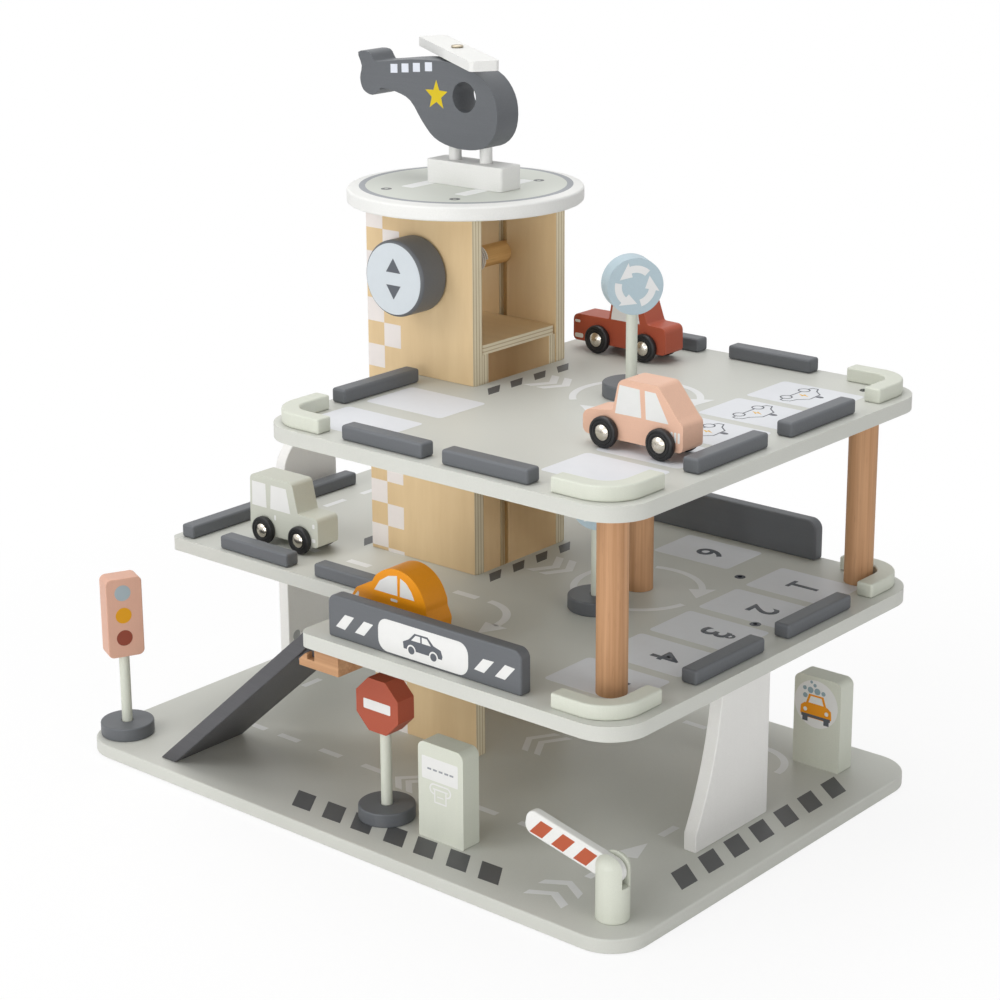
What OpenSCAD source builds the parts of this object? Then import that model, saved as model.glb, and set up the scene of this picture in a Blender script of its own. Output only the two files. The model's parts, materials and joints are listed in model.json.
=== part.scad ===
// Toy parking garage with a winding lift, a hook-on ramp, a barrier, signs, cars and a helicopter.
// The origin is the middle of the base's underside, +X runs along the front to the right,
// +Y to the back and +Z up. Places are worked out from the base's front left corner.

/* [Boards] */
// Thickness of every plywood board
board_t = 9; // [7:0.5:12]
// Length of the base along the front
base_l = 450; // [430:1:520]
// Depth of the base from front to back
base_w = 313.5; // [305:0.5:360]
// Corner radius of the base in plan
base_r = 26; // [8:1:40]

/* [Decks] */
// Clear height between the base and the middle deck
lower_storey_h = 116; // [108:1:150]
// Clear height between the middle deck and the top deck
upper_storey_h = 114.7; // [100:0.1:150]
// Length of the middle deck
middle_l = 429; // [420:1:434]
// Distance of the middle deck's front edge from the base's front edge
middle_front = 72.2; // [66:0.1:80]
// Length of the entry lane in front of the middle deck
lane_l = 239; // [232:1:246]
// Distance of the lane's front edge from the base's front edge
lane_front = 1; // [0:0.5:5]
// Length of the top deck in front of the tower
top_l = 270; // [262:1:280]
// Length of the top deck behind the tower
top_back_l = 248; // [240:1:258]
// Distance of the top deck's front edge from the base's front edge
top_front = 1.7; // [0:0.1:5]
// Distance of the decks' right and back edges inside the base's
deck_inset = 3; // [0:0.5:6]
// Large corner radius of the decks in plan
deck_r = 26; // [10:1:30]
// Small corner radius of the decks in plan
deck_small_r = 5; // [2:0.5:8]

/* [Lift tower] */
// Distance of the tower from the base's left edge
tower_x = 137.1; // [134:0.1:145]
// Distance of the tower from the base's front edge
tower_front = 142.1; // [139:0.1:146]
// Width of the tower's walls
tower_w = 88.6; // [82:0.2:92]
// Outer depth of the tower, over both walls
tower_depth = 90.3; // [84:0.1:94]
// Height of the tower above the top deck
tower_rise = 106.1; // [100:0.1:125]
// Depth of the groove that a wall carries each deck in
housing_d = 2; // [1:0.25:3]
// Width of the lift's guide groove
guide_w = 6.4; // [5:0.2:8]
// Depth of the lift's guide groove
guide_d = 4.5; // [3:0.25:5.5]
// Radius of the round landing board
helipad_r = 75; // [70:1:82]

/* [Lift and winder] */
// Outer height of the cabin
cabin_h = 60; // [50:1:66]
// Thickness of the cabin's boards
cabin_t = 6; // [4:0.5:8]
// Height of the cabin's roof above the top deck as photographed
cabin_rise = 24.3; // [15:0.1:28]
// Gap between the cabin and each tower wall
cabin_gap = 0.3; // [0.2:0.05:0.6]
// Distance of the winding shaft's axis below the tower's top
winder_drop = 39.8; // [30:0.1:44]
// Diameter of the winding shaft
shaft_d = 14; // [10:0.5:18]
// Radius of the winding knob
knob_r = 24.1; // [16:0.1:30]
// Thickness of the winding knob
knob_t = 23; // [14:1:30]
// Diameter of the lift's cord
cord_d = 1.6; // [1.2:0.1:2]
// Turns of cord on the shaft as photographed
cord_turns = 5.5; // [4.5:1:7.5]
// Distance from one turn of cord to the next
cord_pitch = 2.1; // [2.05:0.05:2.6]

/* [Supports and posts] */
// Diameter of the round wooden posts
post_d = 18; // [12:1:24]
// Distance of the left support from the base's left edge
left_support_in = 9; // [6:0.5:9]
// Radius of the left support's round top
arch_r = 26.25; // [20:0.25:32]
// Height of the arch's centre above the middle deck
arch_rise = 15.4; // [8:0.2:24]
// Width of the right support at its foot
right_support_w = 74.4; // [66:0.2:90]
// Radius of the right support's hollow front edge
hollow_r = 226; // [180:1:300]
// Setback of the hollow edge at the top of the right support
hollow_setback = 25.7; // [18:0.1:32]
// Length of the sign board on the lane and of the wall board at the back
sign_board_l = 148; // [130:1:160]
// Height of the sign board and of the wall board
sign_board_h = 26.5; // [20:0.5:40]

/* [Kerbs] */
// Width of the kerbs
kerb_w = 11; // [8:0.5:13]
// Height of the kerbs
kerb_h = 9; // [6:0.5:14]
// Length of the short kerbs
kerb_short = 62; // [50:1:64]
// Length of the long kerbs
kerb_long = 68; // [60:1:80]
// Length of each leg of the corner kerbs
corner_leg = 44; // [36:1:48]
// Outer radius of the corner kerbs
corner_r = 24; // [14:1:30]

/* [Ramp] */
// Width of the ramp
ramp_w = 60.8; // [50:0.2:61]
// Distance of the ramp's foot from the base's left edge
ramp_foot_x = 67.7; // [55:0.1:90]
// Height of the wooden block that the ramp hooks into
rest_h = 16.8; // [15:0.2:22]
// Width of the groove that the hook drops into
hook_groove_w = 6; // [5:0.25:8]

/* [Signs] */
// Diameter of the sign bases
sign_base_d = 35.5; // [28:0.5:36]
// Diameter of the sign poles
pole_d = 7; // [5:0.5:9]
// Thickness of the sign heads
sign_t = 14.5; // [10:0.5:20]
// Free length of the traffic light's pole
light_pole_l = 47.2; // [35:0.1:60]
// Width of the traffic light
light_w = 24.6; // [20:0.2:32]
// Height of the traffic light
light_h = 54.8; // [44:0.2:66]
// Free length of the octagonal sign's pole
octagon_pole_l = 48.2; // [35:0.1:52]
// Circumradius of the octagonal sign
octagon_r = 18.6; // [14:0.2:19]
// Free length of the roundabout signs' poles
roundabout_pole_l = 43; // [32:0.5:46]
// Radius of the roundabout signs
roundabout_r = 17.4; // [13:0.2:19]
// Length of the ticket machine
ticket_l = 35.5; // [28:0.5:38]
// Height of the ticket machine
ticket_h = 62; // [50:0.5:64]
// Length of the car wash block
wash_l = 34.5; // [28:0.5:38]
// Height of the car wash block
wash_h = 61.5; // [50:0.5:64]
// Thickness of the ticket machine and of the car wash block
block_t = 14.4; // [10:0.2:18]

/* [Barrier] */
// Length of the barrier's post along the base's front
barrier_post_l = 15.4; // [12:0.2:17]
// Thickness of the barrier's post
barrier_post_w = 14.5; // [12:0.5:18]
// Height of the barrier's pivot above the base
pivot_h = 29.5; // [24:0.5:36]
// Length of the arm from its pivot to its tip
arm_l = 62.5; // [50:0.5:75]
// Width of the arm
arm_w = 15; // [12:0.5:16]
// Thickness of the arm
arm_t = 5.6; // [4:0.2:7]
// Angle of the raised arm as photographed
arm_angle = 12.4; // [0:0.2:60]
// Diameter of the barrier's pin
pin_d = 4; // [3:0.25:5]

/* [Helicopter] */
// Thickness of the helicopter's body
heli_t = 20.5; // [16:0.5:24]
// Diameter of the window hole
heli_hole_d = 19.2; // [14:0.2:22]
// Diameter of the legs
heli_leg_d = 8; // [6:0.5:10]
// Height of the landing block
landing_h = 15.3; // [12:0.1:20]
// Length of the landing block
landing_l = 62.2; // [56:0.2:70]
// Width of the landing block
landing_w = 19.6; // [16:0.2:24]
// Length of the rotor
rotor_l = 136.5; // [110:0.5:160]
// Width of the rotor
rotor_w = 18.5; // [14:0.5:24]
// Thickness of the rotor
rotor_t = 6.2; // [5:0.2:9]
// Angle of the rotor as photographed
rotor_angle = -34.9; // [-90:0.1:90]

/* [Cars] */
// Width of the cars' wooden bodies
car_w = 19; // [16:0.5:24]
// Diameter of the wheels
wheel_d = 18.5; // [15:0.5:20]
// Thickness of the wheels
wheel_t = 4; // [3:0.5:6]
// Diameter of the hub caps
cap_d = 9.2; // [7:0.2:12]
// Diameter of the axles
axle_d = 3; // [2:0.25:4]

/* [Hidden] */

$fn = 48;
arc_steps = 6;          // segments of one rounded corner of an outline
eps = 0.5;              // how far a cutting tool reaches past the face that it cuts

// Clearances
glue_gap = 0.05;        // round a dowel, a screw or a nut in the piece that holds it
run_gap = 0.08;         // round a shaft or a pin that turns
free_gap = 0.3;         // between pieces that pass each other
housing_gap = 0.1;      // round a deck's edge in its groove in a tower wall
end_gap = 0.2;          // between the end faces of two pieces in line

// Colours
light_grey = [0.80, 0.80, 0.77];
dark_grey = [0.33, 0.36, 0.40];
pale_green = [0.85, 0.87, 0.79];
paint_white = [0.96, 0.96, 0.95];
plywood = [0.90, 0.80, 0.63];
dowel_wood = [0.80, 0.60, 0.42];
steel = [0.66, 0.67, 0.69];
cord_white = [0.90, 0.86, 0.84];
blue_grey = [0.66, 0.74, 0.79];
sign_red = [0.68, 0.33, 0.27];
light_pink = [0.93, 0.67, 0.58];

// Heights
base_top = board_t;
middle_z = base_top + lower_storey_h;
middle_top = middle_z + board_t;
top_z = middle_top + upper_storey_h;
top_top = top_z + board_t;
tower_top = top_top + tower_rise;
helipad_top = tower_top + board_t;

// Decks
deck_right = base_l - deck_inset;
deck_back = base_w - deck_inset;
middle_left = left_support_in + board_t;
lane_left = deck_right - lane_l;
top_left = deck_right - top_l;
top_back_left = deck_right - top_back_l;
lane_r = 7.5;

// Tower
tower_cx = tower_x + tower_w / 2;
tower_cy = tower_front + tower_depth / 2;
tower_right = tower_x + tower_w;
tower_back = tower_front + tower_depth;
front_inner = tower_front + board_t;
back_inner = tower_back - board_t;
front_mid = tower_front + board_t / 2;
back_mid = tower_back - board_t / 2;
opening_gap = 0.5;      // between the decks' openings and the tower's sides

// Winder
winder_z = tower_top - winder_drop;
knob_gap = 0.2;
knob_back = tower_front - knob_gap;
knob_front = knob_back - knob_t;
knob_socket = 14;
bearing_d = 5.7;        // how deep the shaft sits in the back wall
cord_lay_r = shaft_d / 2 + cord_d / 2 + glue_gap;
cord_y = tower_cy;
cord_x = tower_cx - cord_lay_r;
cord_straight = cord_d;
ring_steps = 24;
cord_sides = 6;

// Cabin
cabin_x = tower_x + opening_gap;
cabin_l = tower_w - 2 * opening_gap;
cabin_front = front_inner + cabin_gap;
cabin_back = back_inner - cabin_gap;
cabin_top = top_top + cabin_rise;
cabin_bottom = cabin_top - cabin_h;
cabin_r = 3;
peg_d = guide_w - 2 * free_gap;
peg_in = guide_d - free_gap;    // how far a peg reaches into the guide groove
peg_ends = 14;                  // from the cabin's top and bottom to the pegs

// Supports
left_support_front = base_w - 134.5;
right_support_in = 35.4;
right_support_x = base_l - right_support_in - board_t;
right_support_front = 120.8;
arch_y = left_support_front + arch_r;
hollow_y = right_support_front + hollow_setback - hollow_r;

// Posts, each at its place in plan, from one floor to the next
front_post = [base_l - 41.2, 45.6];
centre_post = [base_l - 131.5, 190.5];
back_post = [base_l - 33, base_w - 26.5];
lower_post = [base_l - 94.2, base_w - 66.7];

// Sign board and wall board
parking_board_x = deck_right - 72.5 - sign_board_l;
parking_board_y = lane_front + 7.3;
rear_board_x = deck_right - 71.3 - sign_board_l;
parking_board_r = 6;
rear_board_r = 7;

// Kerbs: [x, y, length, turned to run along Y]
kerb_edge_r = 1.5;
edge_in = 7;            // from the decks' right edge to the kerbs along it
corner_in = 6.7;        // from the decks' right edge to the corner kerbs
back_in = 1.5;          // from the decks' back edge to the kerbs along it
top_corner_in = 4.6;    // from the top deck's front edge to its corner kerb
lane_corner_in = 5.5;   // from the lane's front edge to its corner kerb
kerb_right_x = deck_right - edge_in - kerb_w;
back_kerb_y = deck_back - back_in - kerb_w;
// The right edge's two kerbs share the length between the corner kerbs: part of the free
// length lies before the first one, and part between the two
TOP_SHARES = [0.381, 0.295];
MIDDLE_SHARES = [0.406, 0.31];
function in_row(from, shares) = let (free = deck_back - back_in - corner_leg - from - 2 * kerb_long)
    [from + shares[0] * free, from + (shares[0] + shares[1]) * free + kerb_long];
top_right_y = in_row(top_front + top_corner_in + corner_leg, TOP_SHARES);
middle_right_y = in_row(lane_front + lane_corner_in + corner_leg, MIDDLE_SHARES);
TOP_KERBS = [
    [top_left + 4, top_front + 60.8, 67.5, true],
    [top_left + 65, top_front + 5.3, kerb_short, false],
    [top_left + 141.5, top_front + 5.3, kerb_short, false],
    [kerb_right_x, top_right_y[0], kerb_long, true],
    [kerb_right_x, top_right_y[1], kerb_long, true],
    [top_back_left + 23, back_kerb_y, kerb_short, false],
    [top_back_left + 108.5, back_kerb_y, kerb_short, false]];
MIDDLE_KERBS = [
    [middle_left + 6.5, middle_front + 4, kerb_long, true],
    [middle_left + 6.5, middle_front + 94, kerb_long, true],
    [middle_left + 44, middle_front + 3.3, kerb_short, false],
    [middle_left + 130, middle_front + 3.3, kerb_short, false],
    [kerb_right_x, middle_right_y[0], kerb_long, true],
    [kerb_right_x, middle_right_y[1], kerb_long, true]];
// Corner kerbs: [outer corner x, y, turn]
TOP_CORNERS = [
    [top_left + 4, top_front + 4, 0],
    [deck_right - corner_in, top_front + top_corner_in, 90],
    [deck_right - corner_in, deck_back - back_in, 180]];
MIDDLE_CORNERS = [
    [deck_right - corner_in, lane_front + lane_corner_in, 90],
    [deck_right - corner_in, deck_back - back_in, 180]];

// Screws and barrel nuts
screw_d = 4;
screw_head_d = 7;
screw_head_h = 2.3;
screw_recess = 0.3;
nut_d = 8;
nut_l = 7;
nut_hole_l = 8;
nut_drop = 10;          // from a board's end to the nut, at the tower's top
foot_nut_drop = 19.9;   // the same at the feet of walls and supports
shank_past = 5;         // how far a screw runs past its nut
post_bite = 24;         // how deep a screw goes into a post
wall_screw_in = 14;     // from the tower's left side to the first screw
wall_screw_step = 57;
support_screw_in = 8.2;
DOWN = [0, 0, 0];
UP = [180, 0, 0];
TO_RIGHT = [0, -90, 0];
wall_screws_x = [tower_x + wall_screw_in, tower_x + wall_screw_in + wall_screw_step];
left_screws_y = [left_support_front + support_screw_in,
    left_support_front + 2 * arch_r - support_screw_in];
right_foot_screws_y = [right_support_front + 13, right_support_front + right_support_w - 13];
right_top_screws_y = [right_support_front + 36.7, right_support_front + 63.2];
left_board_mid = left_support_in + board_t / 2;
right_board_mid = right_support_x + board_t / 2;
top_screw_l = board_t + nut_drop + shank_past;
foot_screw_l = board_t + foot_nut_drop + shank_past;
post_screw_l = board_t + post_bite;
edge_bite = 20;

// Each screw: [place of its head's outer face, direction, length]
HELIPAD_SCREWS = [for (y = [front_mid, back_mid]) for (x = wall_screws_x)
    [[x, y, helipad_top], DOWN, top_screw_l]];
TOWER_FOOT_SCREWS = [for (y = [front_mid, back_mid]) for (x = wall_screws_x)
    [[x, y, 0], UP, foot_screw_l]];
LEFT_FOOT_SCREWS = [for (y = left_screws_y) [[left_board_mid, y, 0], UP, foot_screw_l]];
LEFT_EDGE_SCREWS = [for (y = [arch_y - 13, arch_y + 13])
    [[left_support_in, y, middle_z + board_t / 2], TO_RIGHT, board_t + edge_bite]];
RIGHT_FOOT_SCREWS = [for (y = right_foot_screws_y) [[right_board_mid, y, 0], UP, foot_screw_l]];
RIGHT_TOP_SCREWS = [for (y = right_top_screws_y)
    [[right_board_mid, y, middle_top], DOWN, foot_screw_l]];
LOWER_POST_TOP = [[[lower_post.x, lower_post.y, middle_top], DOWN, post_screw_l]];
LOWER_POST_FOOT = [[[lower_post.x, lower_post.y, 0], UP, post_screw_l]];
POST_TOPS = [for (p = [centre_post, back_post]) [[p.x, p.y, top_top], DOWN, post_screw_l]];
POST_FEET = [for (p = [front_post, centre_post, back_post])
    [[p.x, p.y, middle_z], UP, post_screw_l]];
BASE_SCREWS = concat(TOWER_FOOT_SCREWS, LEFT_FOOT_SCREWS, RIGHT_FOOT_SCREWS, LOWER_POST_FOOT);
MIDDLE_SCREWS = concat(RIGHT_TOP_SCREWS, LOWER_POST_TOP, POST_FEET);
ALL_SCREWS = concat(HELIPAD_SCREWS, BASE_SCREWS, MIDDLE_SCREWS, POST_TOPS, LEFT_EDGE_SCREWS);

// Barrel nuts: centres, by board
WALL_NUTS_Z = [base_top + foot_nut_drop, tower_top - nut_drop];
LEFT_NUTS = [for (y = left_screws_y) [left_board_mid, y, base_top + foot_nut_drop]];
RIGHT_NUTS = concat(
    [for (y = right_foot_screws_y) [right_board_mid, y, base_top + foot_nut_drop]],
    [for (y = right_top_screws_y) [right_board_mid, y, middle_z - foot_nut_drop]]);

// Ramp, worked out in the plane of its side
ramp_y = lane_front + 9.7;
ramp_end_x = lane_left - end_gap;
ramp_slope = (middle_top - base_top) / (ramp_end_x - ramp_foot_x);
ramp_angle = atan(ramp_slope);
ramp_v = board_t / cos(ramp_angle);
hook_l = 50;
hook_y = ramp_y + 2.3;
hook_v = 2.6;           // thickness of the hook strip, measured upright
hook_strip_l = 13;
rest_y = lane_front + 8;
rest_l = 55;
rest_right = lane_left + 25;
lip_right = lane_left - 0.9;
groove_right = lip_right + hook_groove_w;
tongue_drop = 2.04;     // from the hook strip's end down to its level tongue
function ramp_under(x) = middle_top - ramp_v - (ramp_end_x - x) * ramp_slope;
tongue_under = ramp_under(ramp_end_x) - hook_v - tongue_drop;
tongue_top = tongue_under + 3.3;
lip_top = tongue_under - free_gap;
groove_floor = lip_top - 3.5;
hook_floor = groove_floor + free_gap;
hook_bend_x = ramp_end_x - tongue_drop / ramp_slope;
rest_bevel_h = 4.74;    // height of the slope on the rest block that the ramp lies along
rest_x = hook_bend_x - rest_bevel_h / ramp_slope;

// Signs
sign_socket = 6;        // depth of the pole's hole in a sign's base
head_socket = 9;        // depth of the pole's hole in a sign's head
light_place = [20, 24.5, base_top];
light_turn = 65.8;
octagon_place = [240, 41.5, base_top];
upper_round_place = [base_l - 137, 188, top_top];
middle_round_place = [base_l - 130, 146, middle_top];
round_turn = 52.8;
ticket_place = [272, 35.3, base_top];
wash_place = [base_l - 66, base_w - 43.8, base_top];
block_r = 5;

// Barrier
barrier_x = base_l - 24.5;
barrier_y = 26.75;
pivot_z = base_top + pivot_h;
slot_w = arm_t + 2 * free_gap;
barrier_head_z = pivot_z + 3;
slot_floor = pivot_z - arm_w / 2 - 1.5;

// Helicopter, placed from the tower's middle
heli_x = tower_cx + 5;
heli_y = tower_cy + 2.05;
landing_top = helipad_top + landing_h;
heli_belly = landing_top + 8.7;  // the body's lowest point
leg_x = [heli_x - 14.9, heli_x + 10.6];
leg_socket = 8;
leg_in_body = 11;
rotor_x = heli_x - 12.4;
heli_crown = heli_belly + 53.9;
washer_t = 1.2;
washer_d = 10;
rotor_z = heli_crown + 0.1 + washer_t + 0.1;
rotor_r = 3;
rotor_screw_d = 4.4;
rotor_screw_l = 14;
rotor_head_d = 8;
rotor_head_h = 1.6;

// Outline of the helicopter's side, from its belly's middle, tail to the left
HELI_OUTLINE = [
    [-88.2, 54.3], [-85.3, 45.8], [-86.9, 37.8], [-84.2, 30.4], [-76.4, 27.6], [-70.2, 31.2],
    [-68.0, 33.0], [-55.6, 31.4], [-43.6, 26.9], [-33.6, 14.6], [-23.6, 5.2], [-10.0, 0.8],
    [6.0, 0.1], [18.0, 3.0], [26.0, 11.0], [28.6, 22.6], [26.2, 34.6], [17.4, 45.2],
    [2.4, 51.4], [-13.4, 53.8], [-42.0, 53.0], [-70.5, 49.6], [-74.6, 50.2], [-78.6, 55.0]];

// Cars: outlines from the nose along the car and up from the floor, [along, up, corner radius]
car_floor = 5.8;        // the bodies' clearance from the floor
wheel_lift = 0.1;       // the wheels just clear the floor
wheel_gap = 0.3;        // between a body and its wheels
cap_h = 1.4;
tyre_r = 1;
RED_CAR = [[0, car_floor, 3], [0.2, 23.5, 4], [29.2, 23.6, 1.5], [32.3, 42.3, 4],
    [53.7, 42.3, 4], [60.3, 24.1, 2], [74.6, 23.7, 4], [74.8, car_floor, 3]];
PINK_CAR = [[0, car_floor, 4], [0.2, 19.6, 5], [21.3, 22.6, 2], [25.4, 41.7, 6],
    [52.5, 41.7, 5], [66.5, 24.6, 3], [69.7, 21.5, 4], [69.7, car_floor, 3]];
GREEN_CAR = [[0, car_floor, 3], [0, 25.6, 3], [18, 25.7, 1], [22.8, 45.6, 3.5],
    [61.7, 45.6, 4], [62.8, car_floor, 3]];
// The orange car's roof is round: corners of a polygon about its circle, each rounded to it
roof_r = 22.7;
ROOF_CENTRE = [35.8, 20.6];
roof_turn = 25;         // from one corner of that polygon to the next
ROOF = [for (a = [137.5 : -roof_turn : 0])
    let (reach = roof_r / cos(roof_turn / 2))
    [ROOF_CENTRE.x + reach * cos(a), ROOF_CENTRE.y + reach * sin(a), roof_r]];
ORANGE_CAR = [[0.6, car_floor, 3], [-2.4, 17, 5], [3, 25.2, 6], [16, 31.9, 1.2], each ROOF,
    [58.5, 22, 1], [61.8, 15, 4], [60.4, car_floor, 3]];
// Each car: [nose x, near side y, floor z, heading, front wheel, rear wheel]
car_span = car_w + 2 * (wheel_gap + wheel_t + glue_gap + cap_h);
red_share = 0.594;       // of the free room behind the tower, in front of the red car
red_y = tower_back + red_share * (back_kerb_y - tower_back - car_span) + (car_span - car_w) / 2;
red_place = [deck_right - 235.3, red_y, top_top];
red_wheels = [21.6, 59.2];
pink_place = [deck_right - 95.4, top_front + 89.8, top_top];
pink_wheels = [16.6, 56.1];
green_car_place = [middle_left + 106.9, middle_front + 31.3, middle_top];
green_car_wheels = [14.7, 48.1];
orange_car_place = [lane_left + 18.9, lane_front + 28.5, middle_top];
orange_car_wheels = [13.1, 46.1];

// Outline maths

// Corner of an outline, rounded with its own radius, as a few points on the arc
function unit(v) = v / norm(v);
function corner_arc(before, at, after, r) =
    let (a = unit(before - at), b = unit(after - at),
        half = acos(max(-1, min(1, a * b))) / 2,
        reach = min(r / tan(half), norm(before - at) / 2.01, norm(after - at) / 2.01),
        true_r = reach * tan(half),
        centre = at + unit(a + b) * (true_r / sin(half)),
        start = at + a * reach, finish = at + b * reach,
        from = atan2(start.y - centre.y, start.x - centre.x),
        to = atan2(finish.y - centre.y, finish.x - centre.x),
        sweep = (to - from) - 360 * round((to - from) / 360))
    [for (i = [0 : arc_steps]) centre + true_r * [cos(from + sweep * i / arc_steps),
        sin(from + sweep * i / arc_steps)]];
// Outline with rounded corners, from [x, y, radius] points
function rounded(points) =
    let (n = len(points), flat = [for (p = points) [p.x, p.y]])
    [for (i = [0 : n - 1]) each corner_arc(flat[(i + n - 1) % n], flat[i], flat[(i + 1) % n],
        points[i].z)];
// Smooth closed curve through the points
function curve_point(a, b, c, d, t) = 0.5 * (2 * b + (c - a) * t
    + (2 * a - 5 * b + 4 * c - d) * t * t + (3 * b - a - 3 * c + d) * t * t * t);
function smooth(points, steps) =
    let (n = len(points))
    [for (i = [0 : n - 1]) for (k = [0 : steps - 1])
        curve_point(points[(i + n - 1) % n], points[i], points[(i + 1) % n],
            points[(i + 2) % n], k / steps)];

// Shared shapes

module placed() { translate([-base_l / 2, -base_w / 2, 0]) children(); }

// Waste outside a round corner, for a plate that lies towards [sx, sy] from it
module corner_waste(r, sx, sy) {
    difference() {
        polygon([[-sx, -sy], [sx * r, -sy], [sx * r, sy * r], [-sx, sy * r]]);
        translate([sx * r, sy * r]) circle(r);
    }
}

// Rectangle with its own radius at each corner: front left, front right, back right, back left
module rounded_rect(x0, y0, x1, y1, radii) {
    difference() {
        translate([x0, y0]) square([x1 - x0, y1 - y0]);
        if (radii[0] > 0) translate([x0, y0]) corner_waste(radii[0], 1, 1);
        if (radii[1] > 0) translate([x1, y0]) corner_waste(radii[1], -1, 1);
        if (radii[2] > 0) translate([x1, y1]) corner_waste(radii[2], -1, -1);
        if (radii[3] > 0) translate([x0, y1]) corner_waste(radii[3], 1, -1);
    }
}

// Shape drawn as [x, z], extruded to the back from y by t
module upright(y, t) {
    translate([0, y + t, 0]) rotate([90, 0, 0]) linear_extrude(t) children();
}

// Shape drawn as [y, z], extruded to the right from x by t
module sideways(x, t) {
    translate([x, 0, 0]) rotate([90, 0, 90]) linear_extrude(t) children();
}

// Turned disc that stands on z = 0, with its rims rounded
module turned_disc(d, h, rim) {
    rotate_extrude() rounded_rect(0, 0, d / 2, h, [0, rim, rim, 0]);
}

// Screws and nuts

module at_screws(sites) {
    for (s = sites) translate(s[0]) rotate(s[1]) let ($screw_l = s[2]) children();
}

module screw() {
    head_under = screw_recess + screw_head_h;
    difference() {
        union() {
            translate([0, 0, -head_under]) cylinder(h = screw_head_h, d = screw_head_d);
            translate([0, 0, -$screw_l]) cylinder(h = $screw_l - head_under + eps, d = screw_d);
        }
        translate([0, 0, -screw_recess - 1.4]) cylinder(h = 3, d = 3, $fn = 6);
    }
}

module screw_hole() {
    head_under = screw_recess + screw_head_h;
    translate([0, 0, -head_under]) cylinder(h = head_under + eps, d = screw_head_d + 4 * glue_gap);
    translate([0, 0, -$screw_l - eps]) cylinder(h = $screw_l, d = screw_d + 2 * glue_gap);
}

// Hole for a barrel nut in a board along X, drilled in from the board's face at y
module wall_nut_hole(x, y, z, from_back) {
    turn = from_back ? 90 : -90;
    translate([x, y, z]) rotate([turn, 0, 0]) translate([0, 0, -eps])
        cylinder(h = nut_hole_l + eps, d = nut_d + 2 * glue_gap);
}

module barrel(turn) {
    rotate(turn) difference() {
        translate([0, 0, -nut_l / 2]) cylinder(h = nut_l, d = nut_d);
        rotate([90, 0, 0]) translate([0, 0, -nut_d])
            cylinder(h = 2 * nut_d, d = screw_d + 2 * glue_gap);
    }
}

// Boards

module base_board() {
    color(light_grey) placed() difference() {
        linear_extrude(board_t) rounded_rect(0, 0, base_l, base_w, [base_r, base_r, base_r, base_r]);
        at_screws(BASE_SCREWS) screw_hole();
    }
}

// Opening in a deck for the tower: the deck's edges reach into the walls' grooves
module tower_opening(from_x) {
    translate([from_x, tower_front + housing_d - housing_gap, -eps])
        cube([tower_right + opening_gap - from_x,
            tower_depth - 2 * (housing_d - housing_gap), board_t + 2 * eps]);
}

module middle_deck() {
    color(light_grey) placed() difference() {
        translate([0, 0, middle_z]) difference() {
            linear_extrude(board_t) union() {
                rounded_rect(middle_left, middle_front, deck_right, deck_back,
                    [deck_small_r, 0, deck_r, deck_small_r]);
                rounded_rect(lane_left, lane_front, deck_right, middle_front + deck_r,
                    [lane_r, deck_r, 0, 0]);
            }
            tower_opening(tower_x - opening_gap);
        }
        at_screws(MIDDLE_SCREWS) screw_hole();
        at_screws(LEFT_EDGE_SCREWS) screw_hole();
    }
}

module top_deck() {
    notch_back = tower_back - housing_d + housing_gap;
    color(light_grey) placed() difference() {
        translate([0, 0, top_z]) difference() {
            linear_extrude(board_t) difference() {
                rounded_rect(top_left, top_front, deck_right, deck_back, [deck_r, deck_r, deck_r, 0]);
                translate([top_left - eps, notch_back])
                    square([top_back_left - top_left + eps, deck_back]);
                translate([top_back_left, deck_back]) corner_waste(deck_small_r, 1, -1);
            }
            tower_opening(top_left - eps);
        }
        at_screws(POST_TOPS) screw_hole();
    }
}

module helipad_disc() {
    color(paint_white) placed() difference() {
        translate([tower_cx, tower_cy, tower_top]) cylinder(r = helipad_r, h = board_t, $fn = 96);
        at_screws(HELIPAD_SCREWS) screw_hole();
    }
}

// Tower

// A deck's groove across the outer face of a wall, from x on
module deck_housing(x, y, z) {
    translate([x, y, z - housing_gap]) cube([tower_right + eps - x, housing_d + eps,
        board_t + 2 * housing_gap]);
}

module wall_nut_holes(face_y, from_back) {
    for (x = wall_screws_x) for (z = WALL_NUTS_Z) wall_nut_hole(x, face_y, z, from_back);
}

module tower_front_wall() {
    color(plywood) placed() difference() {
        translate([tower_x, tower_front, base_top]) cube([tower_w, board_t, tower_top - base_top]);
        translate([tower_cx - guide_w / 2, front_inner - guide_d, base_top - eps])
            cube([guide_w, guide_d + eps, tower_top - base_top + 2 * eps]);
        deck_housing(tower_x - eps, tower_front - eps, middle_z);
        deck_housing(top_left - free_gap, tower_front - eps, top_z);
        translate([tower_cx, front_inner + eps, winder_z]) rotate([90, 0, 0])
            cylinder(h = board_t + 2 * eps, d = shaft_d + 2 * run_gap);
        wall_nut_holes(front_inner, true);
        at_screws(HELIPAD_SCREWS) screw_hole();
        at_screws(TOWER_FOOT_SCREWS) screw_hole();
    }
}

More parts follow.
